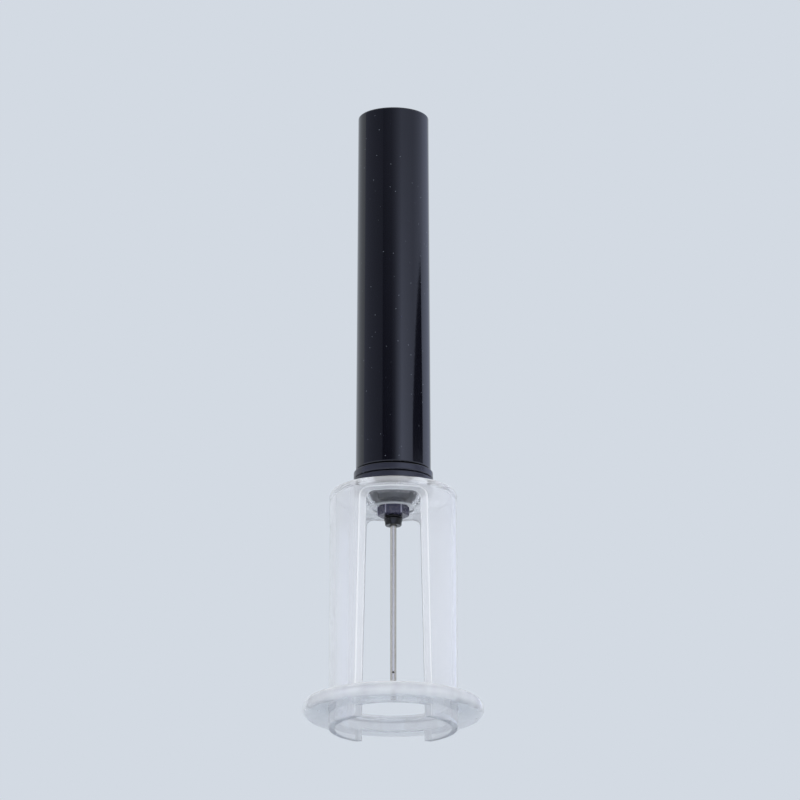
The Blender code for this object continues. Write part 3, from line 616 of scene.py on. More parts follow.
def with_edge_rows(outline):
    """The closed outline with a narrow row at each end of a long run, which keeps its gloss even."""
    result = []
    for start, end in zip(outline, outline[1:] + outline[:1]):
        result.append(start)
        reach = math.dist(start, end)
        if reach > 4 * EDGE_ROW and max(start[0], end[0]) > 0:
            for part in (EDGE_ROW / reach, 1 - EDGE_ROW / reach):
                result.append(tuple(a + (b - a) * part for a, b in zip(start, end)))
    return result


def turned(name, outline, material, segments):
    """An object turned round Z from a closed outline, which may start and end on the axis."""
    outline = with_edge_rows(outline)
    shape = bmesh.new()
    verts = [shape.verts.new((r, 0, z)) for r, z in outline]
    edges = []
    for index, vert in enumerate(verts):
        if outline[index - 1][0] > 0 or outline[index][0] > 0:
            edges.append(shape.edges.new((verts[index - 1], vert)))
    bmesh.ops.spin(
        shape, geom=verts + edges, cent=(0, 0, 0), axis=(0, 0, 1),
        angle=2 * math.pi, steps=segments, use_merge=True,
    )
    return mesh_object(name, shape, material)


def cut(piece, tool, operation):
    """Cuts or trims a piece with a tool object, and removes the tool."""
    boolean = piece.modifiers.new(operation.lower(), "BOOLEAN")
    boolean.operation = operation
    boolean.object = tool
    graph = bpy.context.evaluated_depsgraph_get()
    mesh = bpy.data.meshes.new_from_object(piece.evaluated_get(graph))
    piece.modifiers.clear()
    piece.data = mesh
    bpy.data.objects.remove(tool)
    smooth(mesh)


def finish_piece(piece, body, slot, *nodes):
    """Ties a piece to its body and hides the nodes that it stands for. The slot argument is not used."""
    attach(piece, body)
    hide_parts(*nodes)


# Pieces

class OPENER_OT_handle_sleeve(bpy.types.Operator):
    """Adds the tapered sleeve that is gripped to pump"""

    bl_idname = "opener.handle_sleeve"
    bl_label = "Handle sleeve"

    def execute(self, context):
        sizes = context.scene.opener_handle
        bore = outer("pump_barrel") + FIXED_GAP
        outline = rounded([
            (bore, low("handle_sleeve"), sizes.bore_edge),
            (outer("handle_sleeve"), low("handle_sleeve"), sizes.bottom_edge),
            (sizes.top_radius, high("handle_sleeve"), sizes.top_edge),
            (bore, high("handle_sleeve"), sizes.bore_edge),
        ])
        material = polished_black_abs(context.scene.opener_finish)
        sleeve = turned("grip_sleeve", outline, material, sizes.segments)
        finish_piece(sleeve, "handle", "black_abs", "handle_sleeve")
        return {"FINISHED"}


class OPENER_OT_end_cap(bpy.types.Operator):
    """Adds the plug in the sleeve's upper end, with its crown and gate dimple"""

    bl_idname = "opener.end_cap"
    bl_label = "End cap"

    def execute(self, context):
        sizes = context.scene.opener_handle
        top = high("end_cap")
        bottom = low("end_cap")
        plate_bottom = top - sizes.cap_plate
        boss_radius = outer("cap_seal") - FIXED_GAP / 2
        groove_radius = outer("cap_seal") - (high("cap_seal") - low("cap_seal")) - FIXED_GAP
        groove_bottom = low("cap_seal") - FIXED_GAP / 2
        groove_top = high("cap_seal") + FIXED_GAP / 2
        outline = rounded([
            (0, bottom, 0),
            (boss_radius, bottom, sizes.bore_edge),
            (boss_radius, groove_bottom, 0),
            (groove_radius, groove_bottom, 0),
            (groove_radius, groove_top, 0),
            (boss_radius, groove_top, 0),
            (boss_radius, plate_bottom, 0),
            (outer("end_cap"), plate_bottom, 0),
            (outer("end_cap"), top - sizes.cap_crown, sizes.cap_edge),
            (sizes.gate_radius, top, sizes.gate_depth),
            (sizes.gate_radius / 2, top - sizes.gate_depth, sizes.gate_depth),
            (0, top - sizes.gate_depth, 0),
        ])
        material = polished_black_abs(context.scene.opener_finish)
        cap = turned("sleeve_plug", outline, material, sizes.segments)
        finish_piece(cap, "handle", "black_abs", "end_cap")
        return {"FINISHED"}


class OPENER_OT_base(bpy.types.Operator):
    """Adds the collar under the sleeve, the ring in its groove and the nose with its cone"""

    bl_idname = "opener.base"
    bl_label = "Collar, landing ring and nose"

    def execute(self, context):
        sizes = context.scene.opener_base
        segments = context.scene.opener_handle.segments
        finish = context.scene.opener_finish
        satin = satin_black_abs(finish)
        self.add_collar(sizes, satin, segments)
        self.add_ring(sizes, moulded_rubber(finish), segments)
        self.add_nose(sizes, satin, segments)
        return {"FINISHED"}

    def add_collar(self, sizes, material, segments):
        """The collar: a band under the sleeve, a skirt in the nose and a socket for the tube."""
        bore = outer("piston_tube") - sizes.tube_wall
        socket = outer("piston_tube") + FIXED_GAP
        band_bottom = high("nose_cone") + FIXED_GAP
        ledge = low("base_collar") + sizes.collar_ledge
        groove_floor = low("landing_ring") - FIXED_GAP
        groove_inner = sizes.ring_inner_radius - FIXED_GAP
        groove_outer = outer("landing_ring") + FIXED_GAP
        outline = rounded([
            (bore, low("base_collar"), 0),
            (sizes.collar_skirt_radius, low("base_collar"), sizes.band_edge),
            (sizes.collar_skirt_radius, band_bottom, 0),
            (outer("base_collar"), band_bottom, sizes.band_edge),
            (outer("base_collar"), high("base_collar"), sizes.band_edge),
            (groove_outer, high("base_collar"), 0),
            (groove_outer, groove_floor, 0),
            (groove_inner, groove_floor, 0),
            (groove_inner, high("base_collar"), 0),
            (socket, high("base_collar"), sizes.tube_edge),
            (socket, ledge, 0),
            (bore, ledge, 0),
        ])
        collar = turned("collar_band", outline, material, segments)
        finish_piece(collar, "pump_base", "black_abs", "base_collar")

    def add_ring(self, sizes, material, segments):
        """The soft ring that the sleeve lands on."""
        half = (high("landing_ring") - low("landing_ring")) / 2
        outline = rounded([
            (sizes.ring_inner_radius, low("landing_ring"), 0),
            (outer("landing_ring"), low("landing_ring"), 0),
            (outer("landing_ring"), high("landing_ring"), half),
            (sizes.ring_inner_radius, high("landing_ring"), half),
        ])
        ring = turned("sleeve_landing_ring", outline, material, segments)
        finish_piece(ring, "pump_base", "black_rubber", "landing_ring")

    def add_nose(self, sizes, material, segments):
        """The nose: a flange with a socket for the collar, a cone that wedges in the guide, a boss."""
        socket = sizes.collar_skirt_radius + FIXED_GAP
        flange_bottom = high("bottle_guide") + FIXED_GAP
        socket_floor = low("base_seal") - FIXED_GAP
        cone_bottom = low("nose_cone") + sizes.boss_height
        chamber_floor = cone_bottom + sizes.floor_thickness
        stem_hole = stem_hole_radius()
        outline = rounded([
            (sizes.boss_radius, low("nose_cone"), sizes.cone_edge),
            (sizes.boss_radius, cone_bottom, sizes.cone_edge),
            (sizes.cone_bottom_radius, cone_bottom, sizes.cone_edge),
            (sizes.cone_top_radius, flange_bottom, sizes.cone_edge),
            (outer("nose_cone"), flange_bottom, sizes.band_edge),
            (outer("nose_cone"), high("nose_cone"), sizes.band_edge),
            (socket, high("nose_cone"), 0),
            (socket, socket_floor, 0),
            (sizes.chamber_radius, socket_floor, 0),
            (sizes.chamber_radius, chamber_floor, 0),
            (stem_hole, chamber_floor, 0),
            (stem_hole, low("nose_cone"), 0),
        ])
        nose = turned("nose_with_cone", outline, material, segments)
        finish_piece(nose, "pump_base", "black_abs", "nose_cone")


def stem_hole_radius():
    """The radius of the holes that the hub's stem passes through."""
    return bpy.context.scene.opener_needle.stem_radius + FIXED_GAP


class OPENER_OT_piston_tube(bpy.types.Operator):
    """Adds the tube that shows when the sleeve is pulled up"""

    bl_idname = "opener.piston_tube"
    bl_label = "Piston tube"

    def execute(self, context):
        sizes = context.scene.opener_base
        bore = outer("piston_tube") - sizes.tube_wall
        outline = rounded([
            (bore, low("piston_tube"), sizes.tube_edge),
            (outer("piston_tube"), low("piston_tube"), sizes.tube_edge),
            (outer("piston_tube"), high("piston_tube"), sizes.tube_edge),
            (bore, high("piston_tube"), sizes.tube_edge),
        ])
        material = drawn_aluminium(context.scene.opener_finish)
        tube = turned("drawn_piston_tube", outline, material, context.scene.opener_handle.segments)
        finish_piece(tube, "pump_base", "aluminium_tube", "piston_tube")
        return {"FINISHED"}


class OPENER_OT_barrel_bush(bpy.types.Operator):
    """Adds the bush in the sleeve's lower end, with its step and a lead-in for the tube"""

    bl_idname = "opener.barrel_bush"
    bl_label = "Barrel bush"

    def execute(self, context):
        sizes = context.scene.opener_base
        bore = outer("piston_tube") + RUNNING_GAP
        step = low("pump_barrel") - FIXED_GAP
        upper = outer("piston_head") + RUNNING_GAP - FIXED_GAP
        outline = rounded([
            (bore, low("barrel_bush"), sizes.tube_edge),
            (outer("barrel_bush"), low("barrel_bush"), sizes.tube_edge),
            (outer("barrel_bush"), step, 0),
            (upper, step, 0),
            (upper, high("barrel_bush"), sizes.tube_edge),
            (bore, high("barrel_bush"), sizes.tube_edge),
        ])
        material = moulded_acetal(context.scene.opener_finish)
        bush = turned("guide_bush", outline, material, context.scene.opener_handle.segments)
        finish_piece(bush, "handle", "white_acetal", "barrel_bush")
        return {"FINISHED"}


class OPENER_OT_needle_holder(bpy.types.Operator):
    """Adds the lock nut, the washer and the hub that hold the needle"""

    bl_idname = "opener.needle_holder"
    bl_label = "Lock nut, washer and hub"

    def execute(self, context):
        sizes = context.scene.opener_needle
        finish = context.scene.opener_finish
        self.add_nut(sizes, dark_grey_abs(finish), painted_glint_grey_abs(finish))
        self.add_washer(sizes, moulded_rubber(finish))
        self.add_hub(sizes, hub_black_abs(finish))
        return {"FINISHED"}

    def add_nut(self, sizes, material, painted_glint_material):
        """The nut: a hexagon prism with a hole, whose edges are rounded and painted pale as a highlight."""
        bottom = low("needle_nut")
        top = high("needle_nut")
        corner = sizes.across_flats / 2 / math.cos(math.pi / NUT_SIDES)
        hole = stem_hole_radius()
        blank_radius = corner + CUT_OVERRUN
        blank = [(hole, bottom), (blank_radius, bottom), (blank_radius, top), (hole, top)]
        nut = turned("lock_nut", blank, material, sizes.segments)
        lower = bottom - CUT_OVERRUN
        upper = top + CUT_OVERRUN
        prism = [(0, lower), (corner, lower), (corner, upper), (0, upper)]
        cut(nut, turned("hexagon_tool", prism, material, NUT_SIDES), "INTERSECT")
        # A second slot for the painted highlight on the rounded edges
        nut.data.materials.append(painted_glint_material)
        shape = bmesh.new()
        shape.from_mesh(nut.data)
        outside = corner - sizes.nut_edge / 2
        edges = [edge for edge in shape.edges if all(vert.co.xy.length > outside for vert in edge.verts)]
        bmesh.ops.bevel(
            shape, geom=edges, offset=sizes.nut_edge, segments=NUT_EDGE_STEPS, profile=ROUND_PROFILE,
            affect="EDGES", material=nut.data.materials.find(painted_glint_material.name),
        )
        shape.to_mesh(nut.data)
        shape.free()
        smooth(nut.data)
        finish_piece(nut, "pump_base", "dark_grey_abs", "needle_nut")

    def add_washer(self, sizes, material):
        """The flat washer between the nut and the hub."""
        half = (high("hub_gasket") - low("hub_gasket")) / 2
        hole = stem_hole_radius()
        outline = rounded([
            (hole, low("hub_gasket"), 0),
            (outer("hub_gasket"), low("hub_gasket"), half),
            (outer("hub_gasket"), high("hub_gasket"), half),
            (hole, high("hub_gasket"), 0),
        ])
        washer = turned("hub_washer", outline, material, sizes.segments)
        finish_piece(washer, "pump_base", "black_rubber", "hub_gasket")

    def add_hub(self, sizes, material):
        """The hub: a lip and a tapered boss round the needle, with a stem up into the nose."""
        stem_bottom = low("hub_gasket") - FIXED_GAP
        lip_bottom = stem_bottom - sizes.hub_lip
        neck = outer("needle_hub") - sizes.hub_lip_step
        bore = outer("needle") + FIXED_GAP
        outline = rounded([
            (bore, low("needle_hub"), 0),
            (sizes.hub_bottom_radius, low("needle_hub"), sizes.hub_edge),
            (neck, lip_bottom, sizes.hub_edge),
            (outer("needle_hub"), lip_bottom, sizes.hub_edge),
            (outer("needle_hub"), stem_bottom, sizes.hub_edge),
            (sizes.stem_radius, stem_bottom, 0),
            (sizes.stem_radius, high("needle_hub"), sizes.hub_edge),
            (bore, high("needle_hub"), 0),
        ])
        hub = turned("needle_boss", outline, material, sizes.segments)
        finish_piece(hub, "pump_base", "black_abs", "needle_hub")


class OPENER_OT_needle(bpy.types.Operator):
    """Adds the hollow needle, with its ground point and the air port above it"""

    bl_idname = "opener.needle"
    bl_label = "Needle"

    def execute(self, context):
        sizes = context.scene.opener_needle
        tip = low("needle")
        top = high("needle")
        radius = outer("needle")
        solid_top = tip + sizes.solid_length
        outline = rounded([
            (0, tip, 0),
            (radius, tip + sizes.point_length, radius),
            (radius, top, sizes.needle_edge),
            (sizes.bore_radius, top, sizes.needle_edge),
            (sizes.bore_radius, solid_top, 0),
            (0, solid_top, 0),
        ])
        material = ground_stainless_steel(context.scene.opener_finish)
        needle = turned("hollow_needle", outline, material, sizes.segments)
        reach = radius + CUT_OVERRUN
        drill = [(0, 0), (sizes.port_radius, 0), (sizes.port_radius, reach), (0, reach)]
        port = turned("port_tool", drill, material, sizes.segments)
        port.rotation_euler.x = math.pi / 2
        port.location.z = solid_top + 2 * sizes.port_radius
        bpy.context.view_layer.update()
        cut(needle, port, "DIFFERENCE")
        finish_piece(needle, "pump_base", "stainless_steel", "needle")
        return {"FINISHED"}


class OPENER_OT_bottle_guide(bpy.types.Operator):
    """Adds the clear guide: a top with a cup, two legs, a wide rim and a slotted spigot"""

    bl_idname = "opener.bottle_guide"
    bl_label = "Bottle guide"

    def execute(self, context):
        sizes = context.scene.opener_guide
        base = context.scene.opener_base
        shape = guide_shape(guide_sections(sizes, base), sizes)
        guide = mesh_object("clear_bottle_guide", shape, clear_styrene(context.scene.opener_finish))
        # The narrow rows beside its edges keep them crisp, so none is shaded sharp
        guide.data.shade_smooth()
        subdivision = guide.modifiers.new("rounding", "SUBSURF")
        subdivision.levels = 1
        subdivision.render_levels = 1
        finish_piece(guide, "guide", "clear_styrene", "bottle_guide")
        return {"FINISHED"}


def spaced(points, sizes):
    """The points with more between them: narrow steps beside each corner and even ones between."""
    result = [points[0]]
    for start, end in zip(points, points[1:]):
        reach = math.dist(start, end)
        narrow = sizes.edge_spacing / reach if reach > 3 * sizes.edge_spacing else 0
        if narrow:
            steps = max(1, math.ceil(reach / sizes.row_spacing))
            inner = [narrow + (1 - 2 * narrow) * step / steps for step in range(steps + 1)]
            for part in inner:
                result.append(tuple(a + (b - a) * part for a, b in zip(start, end)))
        result.append(end)
    return result


def clustered(total, narrow):
    """Shares from 0 towards 1, without 1, with a narrow step at each end."""
    inner = [narrow + (1 - 2 * narrow) * step / (total - 2) for step in range(total - 1)]
    return [0.0] + inner


class GuideLevels:
    """Heights and radii of the clear guide, worked out from the frame and its settings."""

    def __init__(self, sizes):
        self.top = high("bottle_guide")
        self.foot = low("bottle_guide")
        self.rim_bottom = self.foot + sizes.spigot
        self.rim_top = self.rim_bottom + sizes.rim_thickness
        self.slot_top = self.rim_bottom - sizes.window_sill
        self.sill = self.rim_top + sizes.window_sill
        self.window_top = self.top - sizes.window_drop
        self.inner_window_top = self.window_top - sizes.window_top_slope
        self.draft = sizes.draft
        self.foot_radius = sizes.radius + sizes.draft
        self.bore = sizes.radius - sizes.wall

    def wall_radius(self, z):
        """The outer radius of the guide's wall at a height."""
        return self.foot_radius - self.draft * (z - self.foot) / (self.top - self.foot)


def slot_outline(sizes, levels):
    """The spigot's outline beside its slot, from the foot to the slot's upper edge."""
    return spaced(rounded([
        (levels.bore, levels.foot, 0),
        (levels.foot_radius, levels.foot, sizes.small_edge),
        (levels.foot_radius, levels.slot_top, 0),
    ], closed=False)[1:], sizes)


def rim_outline(sizes, levels):
    """The outline from the slot's upper edge round the wide rim to the window's sill."""
    rim_radius = outer("bottle_guide")
    return spaced(rounded([
        (levels.foot_radius, levels.slot_top, 0),
        (levels.foot_radius, levels.rim_bottom, 0),
        (rim_radius, levels.rim_bottom, sizes.rim_edge),
        (rim_radius, levels.rim_top, sizes.rim_edge),
        (levels.foot_radius, levels.rim_top, sizes.small_edge),
        (levels.wall_radius(levels.sill), levels.sill, 0),
    ], closed=False), sizes)


def window_edge(sizes, levels, flare, top, radius_at):
    """An edge of the window as (radius, height, half angle), up its side and round its corner."""
    corner = sizes.window_corner
    corner_start = top - corner
    straight = spaced([(0, levels.sill), (0, corner_start)], sizes)
    heights = [z for r, z in straight[:-1]]
    for step in range(CORNER_STEPS + 1):
        heights.append(top - corner * (1 - math.sin(math.pi / 2 * step / CORNER_STEPS)))
    rows = []
    for z in heights:
        along = min(1, max(0, (z - levels.sill) / (top - levels.sill)))
        width = sizes.window_bottom + (sizes.window_top - sizes.window_bottom) * along - flare
        into_corner = max(0, z - corner_start)
        arc = math.sqrt(max(0, corner ** 2 - into_corner ** 2))
        radius = radius_at(z)
        rows.append((radius, z, math.asin((width - (corner - arc)) / radius)))
    return rows


def crown_outline(sizes, base, levels):
    """The outline from the window's upper edge over the shoulder and round the cup to its inner edge."""
    plate_bottom = levels.top - sizes.plate
    cup_bottom = levels.top - sizes.cup_depth
    hole = base.cone_bottom_radius + FIXED_GAP
    return spaced(rounded([
        (levels.wall_radius(levels.window_top), levels.window_top, 0),
        (sizes.radius, levels.top, sizes.shoulder),
        (base.cone_top_radius + FIXED_GAP, levels.top, sizes.edge_spacing),
        (hole, low("nose_cone") + base.boss_height, 0),
        (hole, cup_bottom, sizes.edge_spacing),
        (sizes.cup_bottom_radius, cup_bottom, sizes.edge_spacing),
        (sizes.cup_top_radius, (plate_bottom + cup_bottom) / 2, sizes.cup_rounding),
        (sizes.cup_top_radius, plate_bottom, sizes.inner_fillet),
        (levels.bore, plate_bottom, sizes.inner_fillet),
        (levels.bore, levels.inner_window_top, 0),
    ], closed=False), sizes)


def guide_sections(sizes, base):
    """The guide's closed outline as sections of (radius, height, half angle of the window)."""
    levels = GuideLevels(sizes)
    bore = levels.bore
    outer_edge = math.asin(sizes.window_bottom / levels.foot_radius)
    inner_edge = math.asin((sizes.window_bottom - sizes.window_flare) / bore)
    slot_side = slot_outline(sizes, levels)
    rim = rim_outline(sizes, levels)
    window_outer = window_edge(sizes, levels, 0, levels.window_top, levels.wall_radius)
    window_inner = window_edge(sizes, levels, sizes.window_flare, levels.inner_window_top, lambda z: bore)
    crown = crown_outline(sizes, base, levels)
    first = window_outer[-1][2]
    last = window_inner[-1][2]
    crown_rows = [
        (r, z, first + (last - first) * index / (len(crown) - 1)) for index, (r, z) in enumerate(crown)
    ]
    inner_sill = spaced([(bore, levels.sill), (bore, levels.slot_top)], sizes)
    return {
        "slot_outer": [(r, z, outer_edge) for r, z in slot_side],
        "rim": [(r, z, outer_edge) for r, z in rim[1:-1]],
        "window_outer": window_outer,
        "crown": crown_rows[1:-1],
        "window_inner": window_inner[::-1],
        "inner_sill": [(r, z, inner_edge) for r, z in inner_sill[1:-1]],
        "slot_inner": [(bore, z, inner_edge) for r, z in slot_side[::-1]],
    }


def painted_piped_light(point, top, sizes):
    """How much piped light is painted on a point of the guide's rows, as a share of diffuse white."""
    radius = point.xy.length
    from_top = top - point.z
    if radius > sizes.radius + sizes.rim_edge:
        return sizes.rim_light
    if from_top < sizes.shoulder and radius > sizes.cup_top_radius:
        return sizes.shoulder_light
    if radius > sizes.cup_top_radius:
        return sizes.leg_light
    return sizes.cup_light if from_top > sizes.cup_depth - sizes.small_edge else 0


def guide_rows(profile, leg, window):
    """Rows of points round the guide, each through a leg, a window, a leg and a window.

    The last ones cross the foot, from the inner edge of the outline to its outer one.
    """
    quarter = math.pi / 2
    rows = []
    for r, z, edge in profile:
        spans = (
            (edge - quarter, math.pi - 2 * edge, leg),
            (quarter - edge, 2 * edge, window),
            (quarter + edge, math.pi - 2 * edge, leg),
            (3 * quarter - edge, 2 * edge, window),
        )
        turn = np.array([start + width * part for start, width, parts in spans for part in parts])
        rows.append(np.stack([r * np.cos(turn), r * np.sin(turn), np.full(len(turn), z)], axis=1))
    foot = [rows[-1] + (rows[0] - rows[-1]) * part for part in CUT_ROWS]
    return rows + foot


def guide_shape(sections, sizes):
    """A closed bmesh of the guide: rows along its outline, columns round it, and open windows."""
    leg = clustered(sizes.leg_columns, sizes.edge_spacing / (2 * sizes.radius))
    window = clustered(sizes.window_columns, sizes.edge_spacing / sizes.radius)
    columns = len(leg) * 2 + len(window) * 2
    first_row = {}
    profile = []
    for name, rows in sections.items():
        first_row[name] = len(profile)
        profile.extend(rows)
    points = guide_rows(profile, leg, window)

    shape = bmesh.new()
    light = shape.verts.layers.float.new(PAINTED_PIPED_LIGHT)
    verts = [[shape.verts.new(point) for point in row] for row in points]
    top = high("bottle_guide")
    # Paints piped light on each point, by its height and its distance from the axis
    for vert in shape.verts:
        vert[light] = painted_piped_light(vert.co, top, sizes)
    back = range(len(leg), len(leg) + len(window))
    front = range(columns - len(window), columns)
    open_columns = set(back) | set(front)
    open_rows = set()
    for name in ("slot_outer", "window_outer", "window_inner", "slot_inner"):
        start = first_row[name]
        open_rows |= set(range(start, start + len(sections[name]) - 1))
    open_rows |= set(range(len(points) - len(CUT_ROWS) - 1, len(points)))
    for row in range(len(points)):
        above = verts[(row + 1) % len(points)]
        for column in range(columns):
            if row in open_rows and column in open_columns:
                continue
            beside = (column + 1) % columns
            shape.faces.new((verts[row][column], verts[row][beside], above[beside], above[column]))

    def close_opening(outer_name, inner_name, opening, whole):
        """Closes the wall's thickness round an opening, between its outer and inner edges."""
        rows = len(sections[outer_name])
        sides = [column % columns for column in range(opening.start, opening.stop + 1)]
        path = [(row, sides[0]) for row in range(rows)]
        path += [(rows - 1, column) for column in sides[1:-1]]
        path += [(row, sides[-1]) for row in reversed(range(rows))]
        if whole:
            path += [(0, column) for column in reversed(sides[1:-1])]
            path.append(path[0])
        strands = []
        for row, column in path:
            start = verts[first_row[outer_name] + row][column]
            end = verts[first_row[inner_name] + rows - 1 - row][column]
            between = [shape.verts.new(start.co.lerp(end.co, part)) for part in CUT_ROWS]
            strands.append([start, *between, end])
            # Paints piped light on the cut faces: full at their edges, and the cut light between them
            start[light] = end[light] = 1.0
            for vert in between:
                vert[light] = sizes.cut_light
        for left, right in zip(strands, strands[1:]):
            for step in range(len(left) - 1):
                shape.faces.new((left[step], right[step], right[step + 1], left[step + 1]))

    for opening in (back, front):
        close_opening("window_outer", "window_inner", opening, True)
        close_opening("slot_outer", "slot_inner", opening, False)
    return shape


class OPENER_OT_valve_spring(bpy.types.Operator):
    """Adds the check valve's spring, which the ball presses together as it drops"""

    bl_idname = "opener.valve_spring"
    bl_label = "Valve spring"

    def execute(self, context):
        sizes = context.scene.opener_valve
        steps = math.ceil(sizes.turns * sizes.steps)
        bottom = low("valve_spring") + sizes.wire_radius
        travel = high("valve_spring") - sizes.wire_radius - bottom
        coil_radius = outer("valve_spring") - sizes.wire_radius
        climb = travel / (2 * math.pi * sizes.turns * coil_radius)
        shape = bmesh.new()
        rings = []
        for step in range(steps + 1):
            turn = 2 * math.pi * sizes.turns * step / steps
            out = Vector((math.cos(turn), math.sin(turn), 0))
            along = Vector((-math.sin(turn), math.cos(turn), climb)).normalized()
            across = along.cross(out)
            centre = out * coil_radius + Vector((0, 0, bottom + travel * step / steps))
            ring = []
            for side in range(sizes.wire_sides):
                angle = 2 * math.pi * side / sizes.wire_sides
                around = out * math.cos(angle) + across * math.sin(angle)
                ring.append(shape.verts.new(centre + around * sizes.wire_radius))
            rings.append(ring)
        for before, after in zip(rings, rings[1:]):
            for side in range(sizes.wire_sides):
                beside = (side + 1) % sizes.wire_sides
                shape.faces.new((before[side], before[beside], after[beside], after[side]))
        shape.faces.new(rings[0])
        shape.faces.new(reversed(rings[-1]))
        material = ground_stainless_steel(context.scene.opener_finish)
        spring = mesh_object("coiled_valve_spring", shape, material)
        finish_piece(spring, "pump_base", "stainless_steel", "valve_spring")
        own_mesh(spring)
        return {"FINISHED"}


class OPENER_OT_inner_finish(bpy.types.Operator):
    """Gives the pieces inside the pump, whose shapes come with the frame, their finishes"""

    bl_idname = "opener.inner_finish"
    bl_label = "Finish of the inner pieces"

    def execute(self, context):
        finish = context.scene.opener_finish
        materials = {
            drawn_aluminium(finish): ("pump_barrel",),
            moulded_acetal(finish): ("piston_head", "valve_cage"),
            moulded_rubber(finish): ("cap_seal", "stroke_bumper", "piston_seal", "valve_seat", "base_seal"),
            polished_steel(finish): ("valve_ball",),
        }
        for material, nodes in materials.items():
            for node in nodes:
                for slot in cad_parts[node].material_slots:
                    slot.material = material
        return {"FINISHED"}


# Studio

def card_material(colour):
    """The stage cards' finish: a cool glow, as bright as the card is at each point."""
    material, tree = empty_material("studio_card")
    glow = add_node(tree, "ShaderNodeAttribute", attribute_name=CARD_GLOW)
    light = add_node(tree, "ShaderNodeEmission", {"Color": (*colour, 1), "Strength": glow.outputs["Fac"]})
    add_node(tree, "ShaderNodeOutputMaterial", {"Surface": light.outputs["Emission"]})
    return material


def floor_material(colour):
    """The floor: pale and matt from above, and open to the view from below."""
    material, tree = empty_material("studio_floor")
    matt = add_node(tree, "ShaderNodeBsdfDiffuse", {"Color": (*colour, 1)})
    clear = add_node(tree, "ShaderNodeBsdfTransparent")
    side = add_node(tree, "ShaderNodeNewGeometry")
    mix = add_node(tree, "ShaderNodeMixShader", {
        0: side.outputs["Backfacing"], 1: matt.outputs["BSDF"], 2: clear.outputs["BSDF"],
    })
    add_node(tree, "ShaderNodeOutputMaterial", {"Surface": mix.outputs["Shader"]})
    return material


def add_curved_card(name, left, right, heights, distance, material):
    """Adds a card curved round the object, whose sides have a pair of (bearing, glow) at each height.

    The bearings are in degrees, 0 at the camera and growing to the right, and the glow fades
    from side to side.
    """
    shape = bmesh.new()
    glow = shape.verts.layers.float.new(CARD_GLOW)
    columns = []
    for step in range(CARD_STEPS + 1):
        part = step / CARD_STEPS
        column = []
        for height, start, end in zip(heights, left, right):
            bearing = math.radians(start[0] + (end[0] - start[0]) * part)
            vert = shape.verts.new((distance * math.sin(bearing), -distance * math.cos(bearing), height))
            vert[glow] = start[1] + (end[1] - start[1]) * part
            column.append(vert)
        columns.append(column)
    for before, after in zip(columns, columns[1:]):
        for lower in range(len(heights) - 1):
            shape.faces.new((before[lower], after[lower], after[lower + 1], before[lower + 1]))
    mesh = bpy.data.meshes.new(name)
    shape.to_mesh(mesh)
    shape.free()
    mesh.materials.append(material)
    card = add_object(name, mesh)
    card.visible_camera = False
    card.visible_diffuse = False
    card.visible_transmission = False
    card.visible_shadow = False


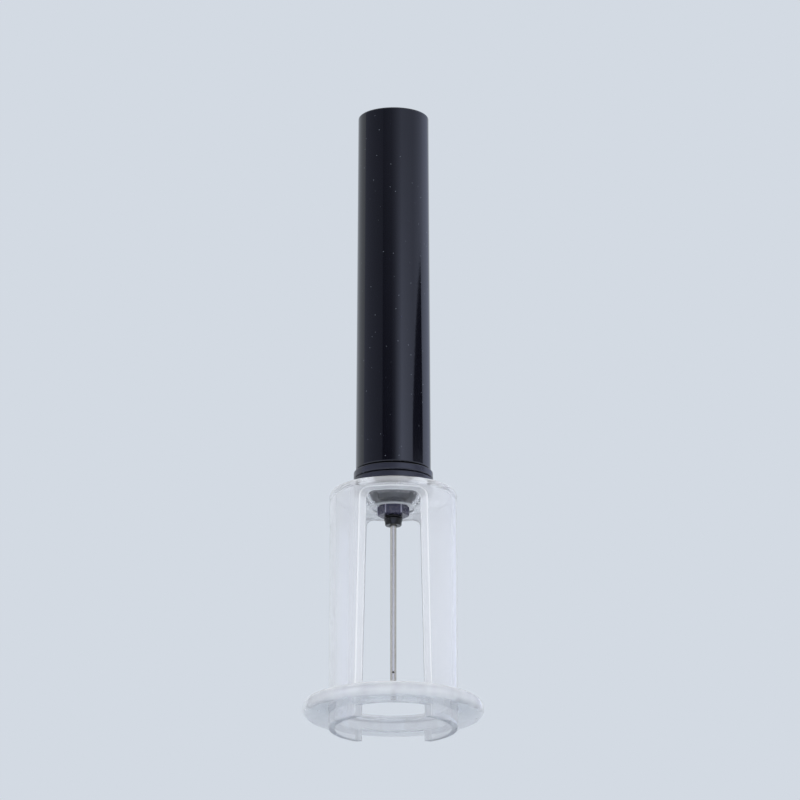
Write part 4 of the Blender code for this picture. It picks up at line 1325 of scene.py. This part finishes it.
class OPENER_OT_studio(bpy.types.Operator):
    """Adds the pale backdrop, the floor, the lamps and the camera"""

    bl_idname = "opener.studio"
    bl_label = "Studio and camera"

    def execute(self, context):
        stage = context.scene.opener_stage
        context.scene.view_settings.view_transform = "Standard"
        self.set_backdrop(context, stage)
        self.add_floor(stage)
        self.add_cards(stage)
        self.add_lamps(stage)
        self.add_camera(context, stage)
        return {"FINISHED"}

    def set_backdrop(self, context, stage):
        """The world: the backdrop's colour where it is seen, and an even light elsewhere."""
        world = bpy.data.worlds.new("studio")
        world.use_nodes = True
        tree = world.node_tree
        tree.nodes.clear()
        path = add_node(tree, "ShaderNodeLightPath")
        seen = add_node(tree, "ShaderNodeMath", {
            0: path.outputs["Is Camera Ray"], 1: path.outputs["Is Glossy Ray"],
        }, operation="MAXIMUM")
        seen_through = add_node(tree, "ShaderNodeMath", {
            0: seen.outputs["Value"], 1: path.outputs["Is Transmission Ray"],
        }, operation="MAXIMUM")
        white = (1, 1, 1, 1)
        light = add_node(tree, "ShaderNodeBackground", {"Color": white, "Strength": stage.room_light})
        backdrop = add_node(tree, "ShaderNodeBackground", {"Color": (*stage.backdrop, 1), "Strength": 1.0})
        mix = add_node(tree, "ShaderNodeMixShader", {
            0: seen_through.outputs["Value"],
            1: light.outputs["Background"],
            2: backdrop.outputs["Background"],
        })
        add_node(tree, "ShaderNodeOutputWorld", {"Surface": mix.outputs["Shader"]})
        context.scene.world = world

    def add_floor(self, stage):
        """The floor under the object."""
        half = stage.floor_half
        height = low("bottle_guide")
        corners = [(x * half, y * half, height) for x, y in ((-1, -1), (1, -1), (1, 1), (-1, 1))]
        mesh = bpy.data.meshes.new("studio_floor")
        mesh.from_pydata(corners, [], [(0, 1, 2, 3)])
        mesh.materials.append(floor_material(tuple(stage.floor)))
        add_object("studio_floor", mesh)

    def add_cards(self, stage):
        """Cards that only reflections see: a dark room in front, a grey side and a soft light."""
        material = card_material(tuple(stage.card_tint))
        foot = stage.card_foot_height
        fade = foot + stage.card_foot_fade
        lower = stage.card_low_height
        upper = stage.card_high_height
        heights = (-stage.card_reach, foot, fade, lower, upper, stage.card_reach)
        sides = []
        for bearing, low_glow, high_glow in CARD_EDGES:
            glows = (stage.foot_glow, stage.foot_glow, low_glow, low_glow, high_glow, high_glow)
            sides.append([(bearing, glow) for glow in glows])
        for index, (left, right) in enumerate(zip(sides, sides[1:])):
            name = f"reflection_card_{index + 1}"
            add_curved_card(name, left, right, heights, stage.card_distance, material)
        near_edge = [(bearing, FLAG_GLOW) for bearing in (FLAG_LEFT, FLAG_LEFT, FLAG_TOP)]
        far_edge = [(bearing, FLAG_GLOW) for bearing in (FLAG_RIGHT, FLAG_RIGHT, FLAG_TOP)]
        flag_heights = (fade, lower, stage.flag_top_height)
        flag_distance = stage.card_distance - stage.flag_gap
        add_curved_card("dark_flag", near_edge, far_edge, flag_heights, flag_distance, material)

    def add_lamps(self, stage):
        """A large lamp above on the right, and a weaker one on the left."""
        lamps = (
            ("key_lamp", stage.key_place, stage.key_power),
            ("fill_lamp", stage.fill_place, stage.fill_power),
        )
        for name, location, power in lamps:
            light = bpy.data.lights.new(name, "AREA")
            light.size = stage.lamp_size
            light.energy = power
            lamp = add_object(name, light)
            lamp.location = location
            lamp.rotation_euler = (-lamp.location).to_track_quat("-Z", "Y").to_euler()
            lamp.visible_glossy = False

    def add_camera(self, context, stage):
        """The camera, which looks slightly up at the object from in front."""
        camera = bpy.data.cameras.new("camera")
        camera.sensor_width = SENSOR_WIDTH / MM
        camera.lens = stage.photo_scale * stage.camera_distance * camera.sensor_width / FRAME_WIDTH
        camera.clip_start = CLIP_START
        camera.clip_end = CLIP_END
        holder = add_object("camera", camera)
        elevation = stage.camera_elevation
        holder.location = (
            stage.aim_side,
            -stage.camera_distance * math.cos(elevation),
            stage.aim_height + stage.camera_distance * math.sin(elevation),
        )
        holder.rotation_euler = (math.pi / 2 - elevation, 0, 0)
        context.scene.camera = holder


class OPENER_PT_panel(bpy.types.Panel):
    """The opener's pieces and their settings"""

    bl_idname = "OPENER_PT_panel"
    bl_label = "Air pump wine opener"
    bl_space_type = "VIEW_3D"
    bl_region_type = "UI"
    bl_category = "Wine opener"

    def draw(self, context):
        for operator in PIECE_OPERATORS:
            self.layout.operator(operator.bl_idname)
        for name, group in SETTINGS.items():
            box = self.layout.box()
            for key in group.__annotations__:
                box.prop(getattr(context.scene, name), key)


PIECE_OPERATORS = (
    OPENER_OT_handle_sleeve,
    OPENER_OT_end_cap,
    OPENER_OT_base,
    OPENER_OT_piston_tube,
    OPENER_OT_barrel_bush,
    OPENER_OT_needle_holder,
    OPENER_OT_needle,
    OPENER_OT_bottle_guide,
    OPENER_OT_valve_spring,
    OPENER_OT_inner_finish,
    OPENER_OT_studio,
)


def register():
    for cls in (*SETTINGS.values(), *PIECE_OPERATORS, OPENER_PT_panel):
        bpy.utils.register_class(cls)
    for name, group in SETTINGS.items():
        setattr(bpy.types.Scene, name, PointerProperty(type=group))


def unregister():
    for name in SETTINGS:
        delattr(bpy.types.Scene, name)
    for cls in (OPENER_PT_panel, *reversed(PIECE_OPERATORS), *reversed(list(SETTINGS.values()))):
        bpy.utils.unregister_class(cls)


def main():
    register()
    for operator in PIECE_OPERATORS:
        getattr(bpy.ops.opener, operator.bl_idname.split(".")[1])()


if __name__ == "__main__":
    main()
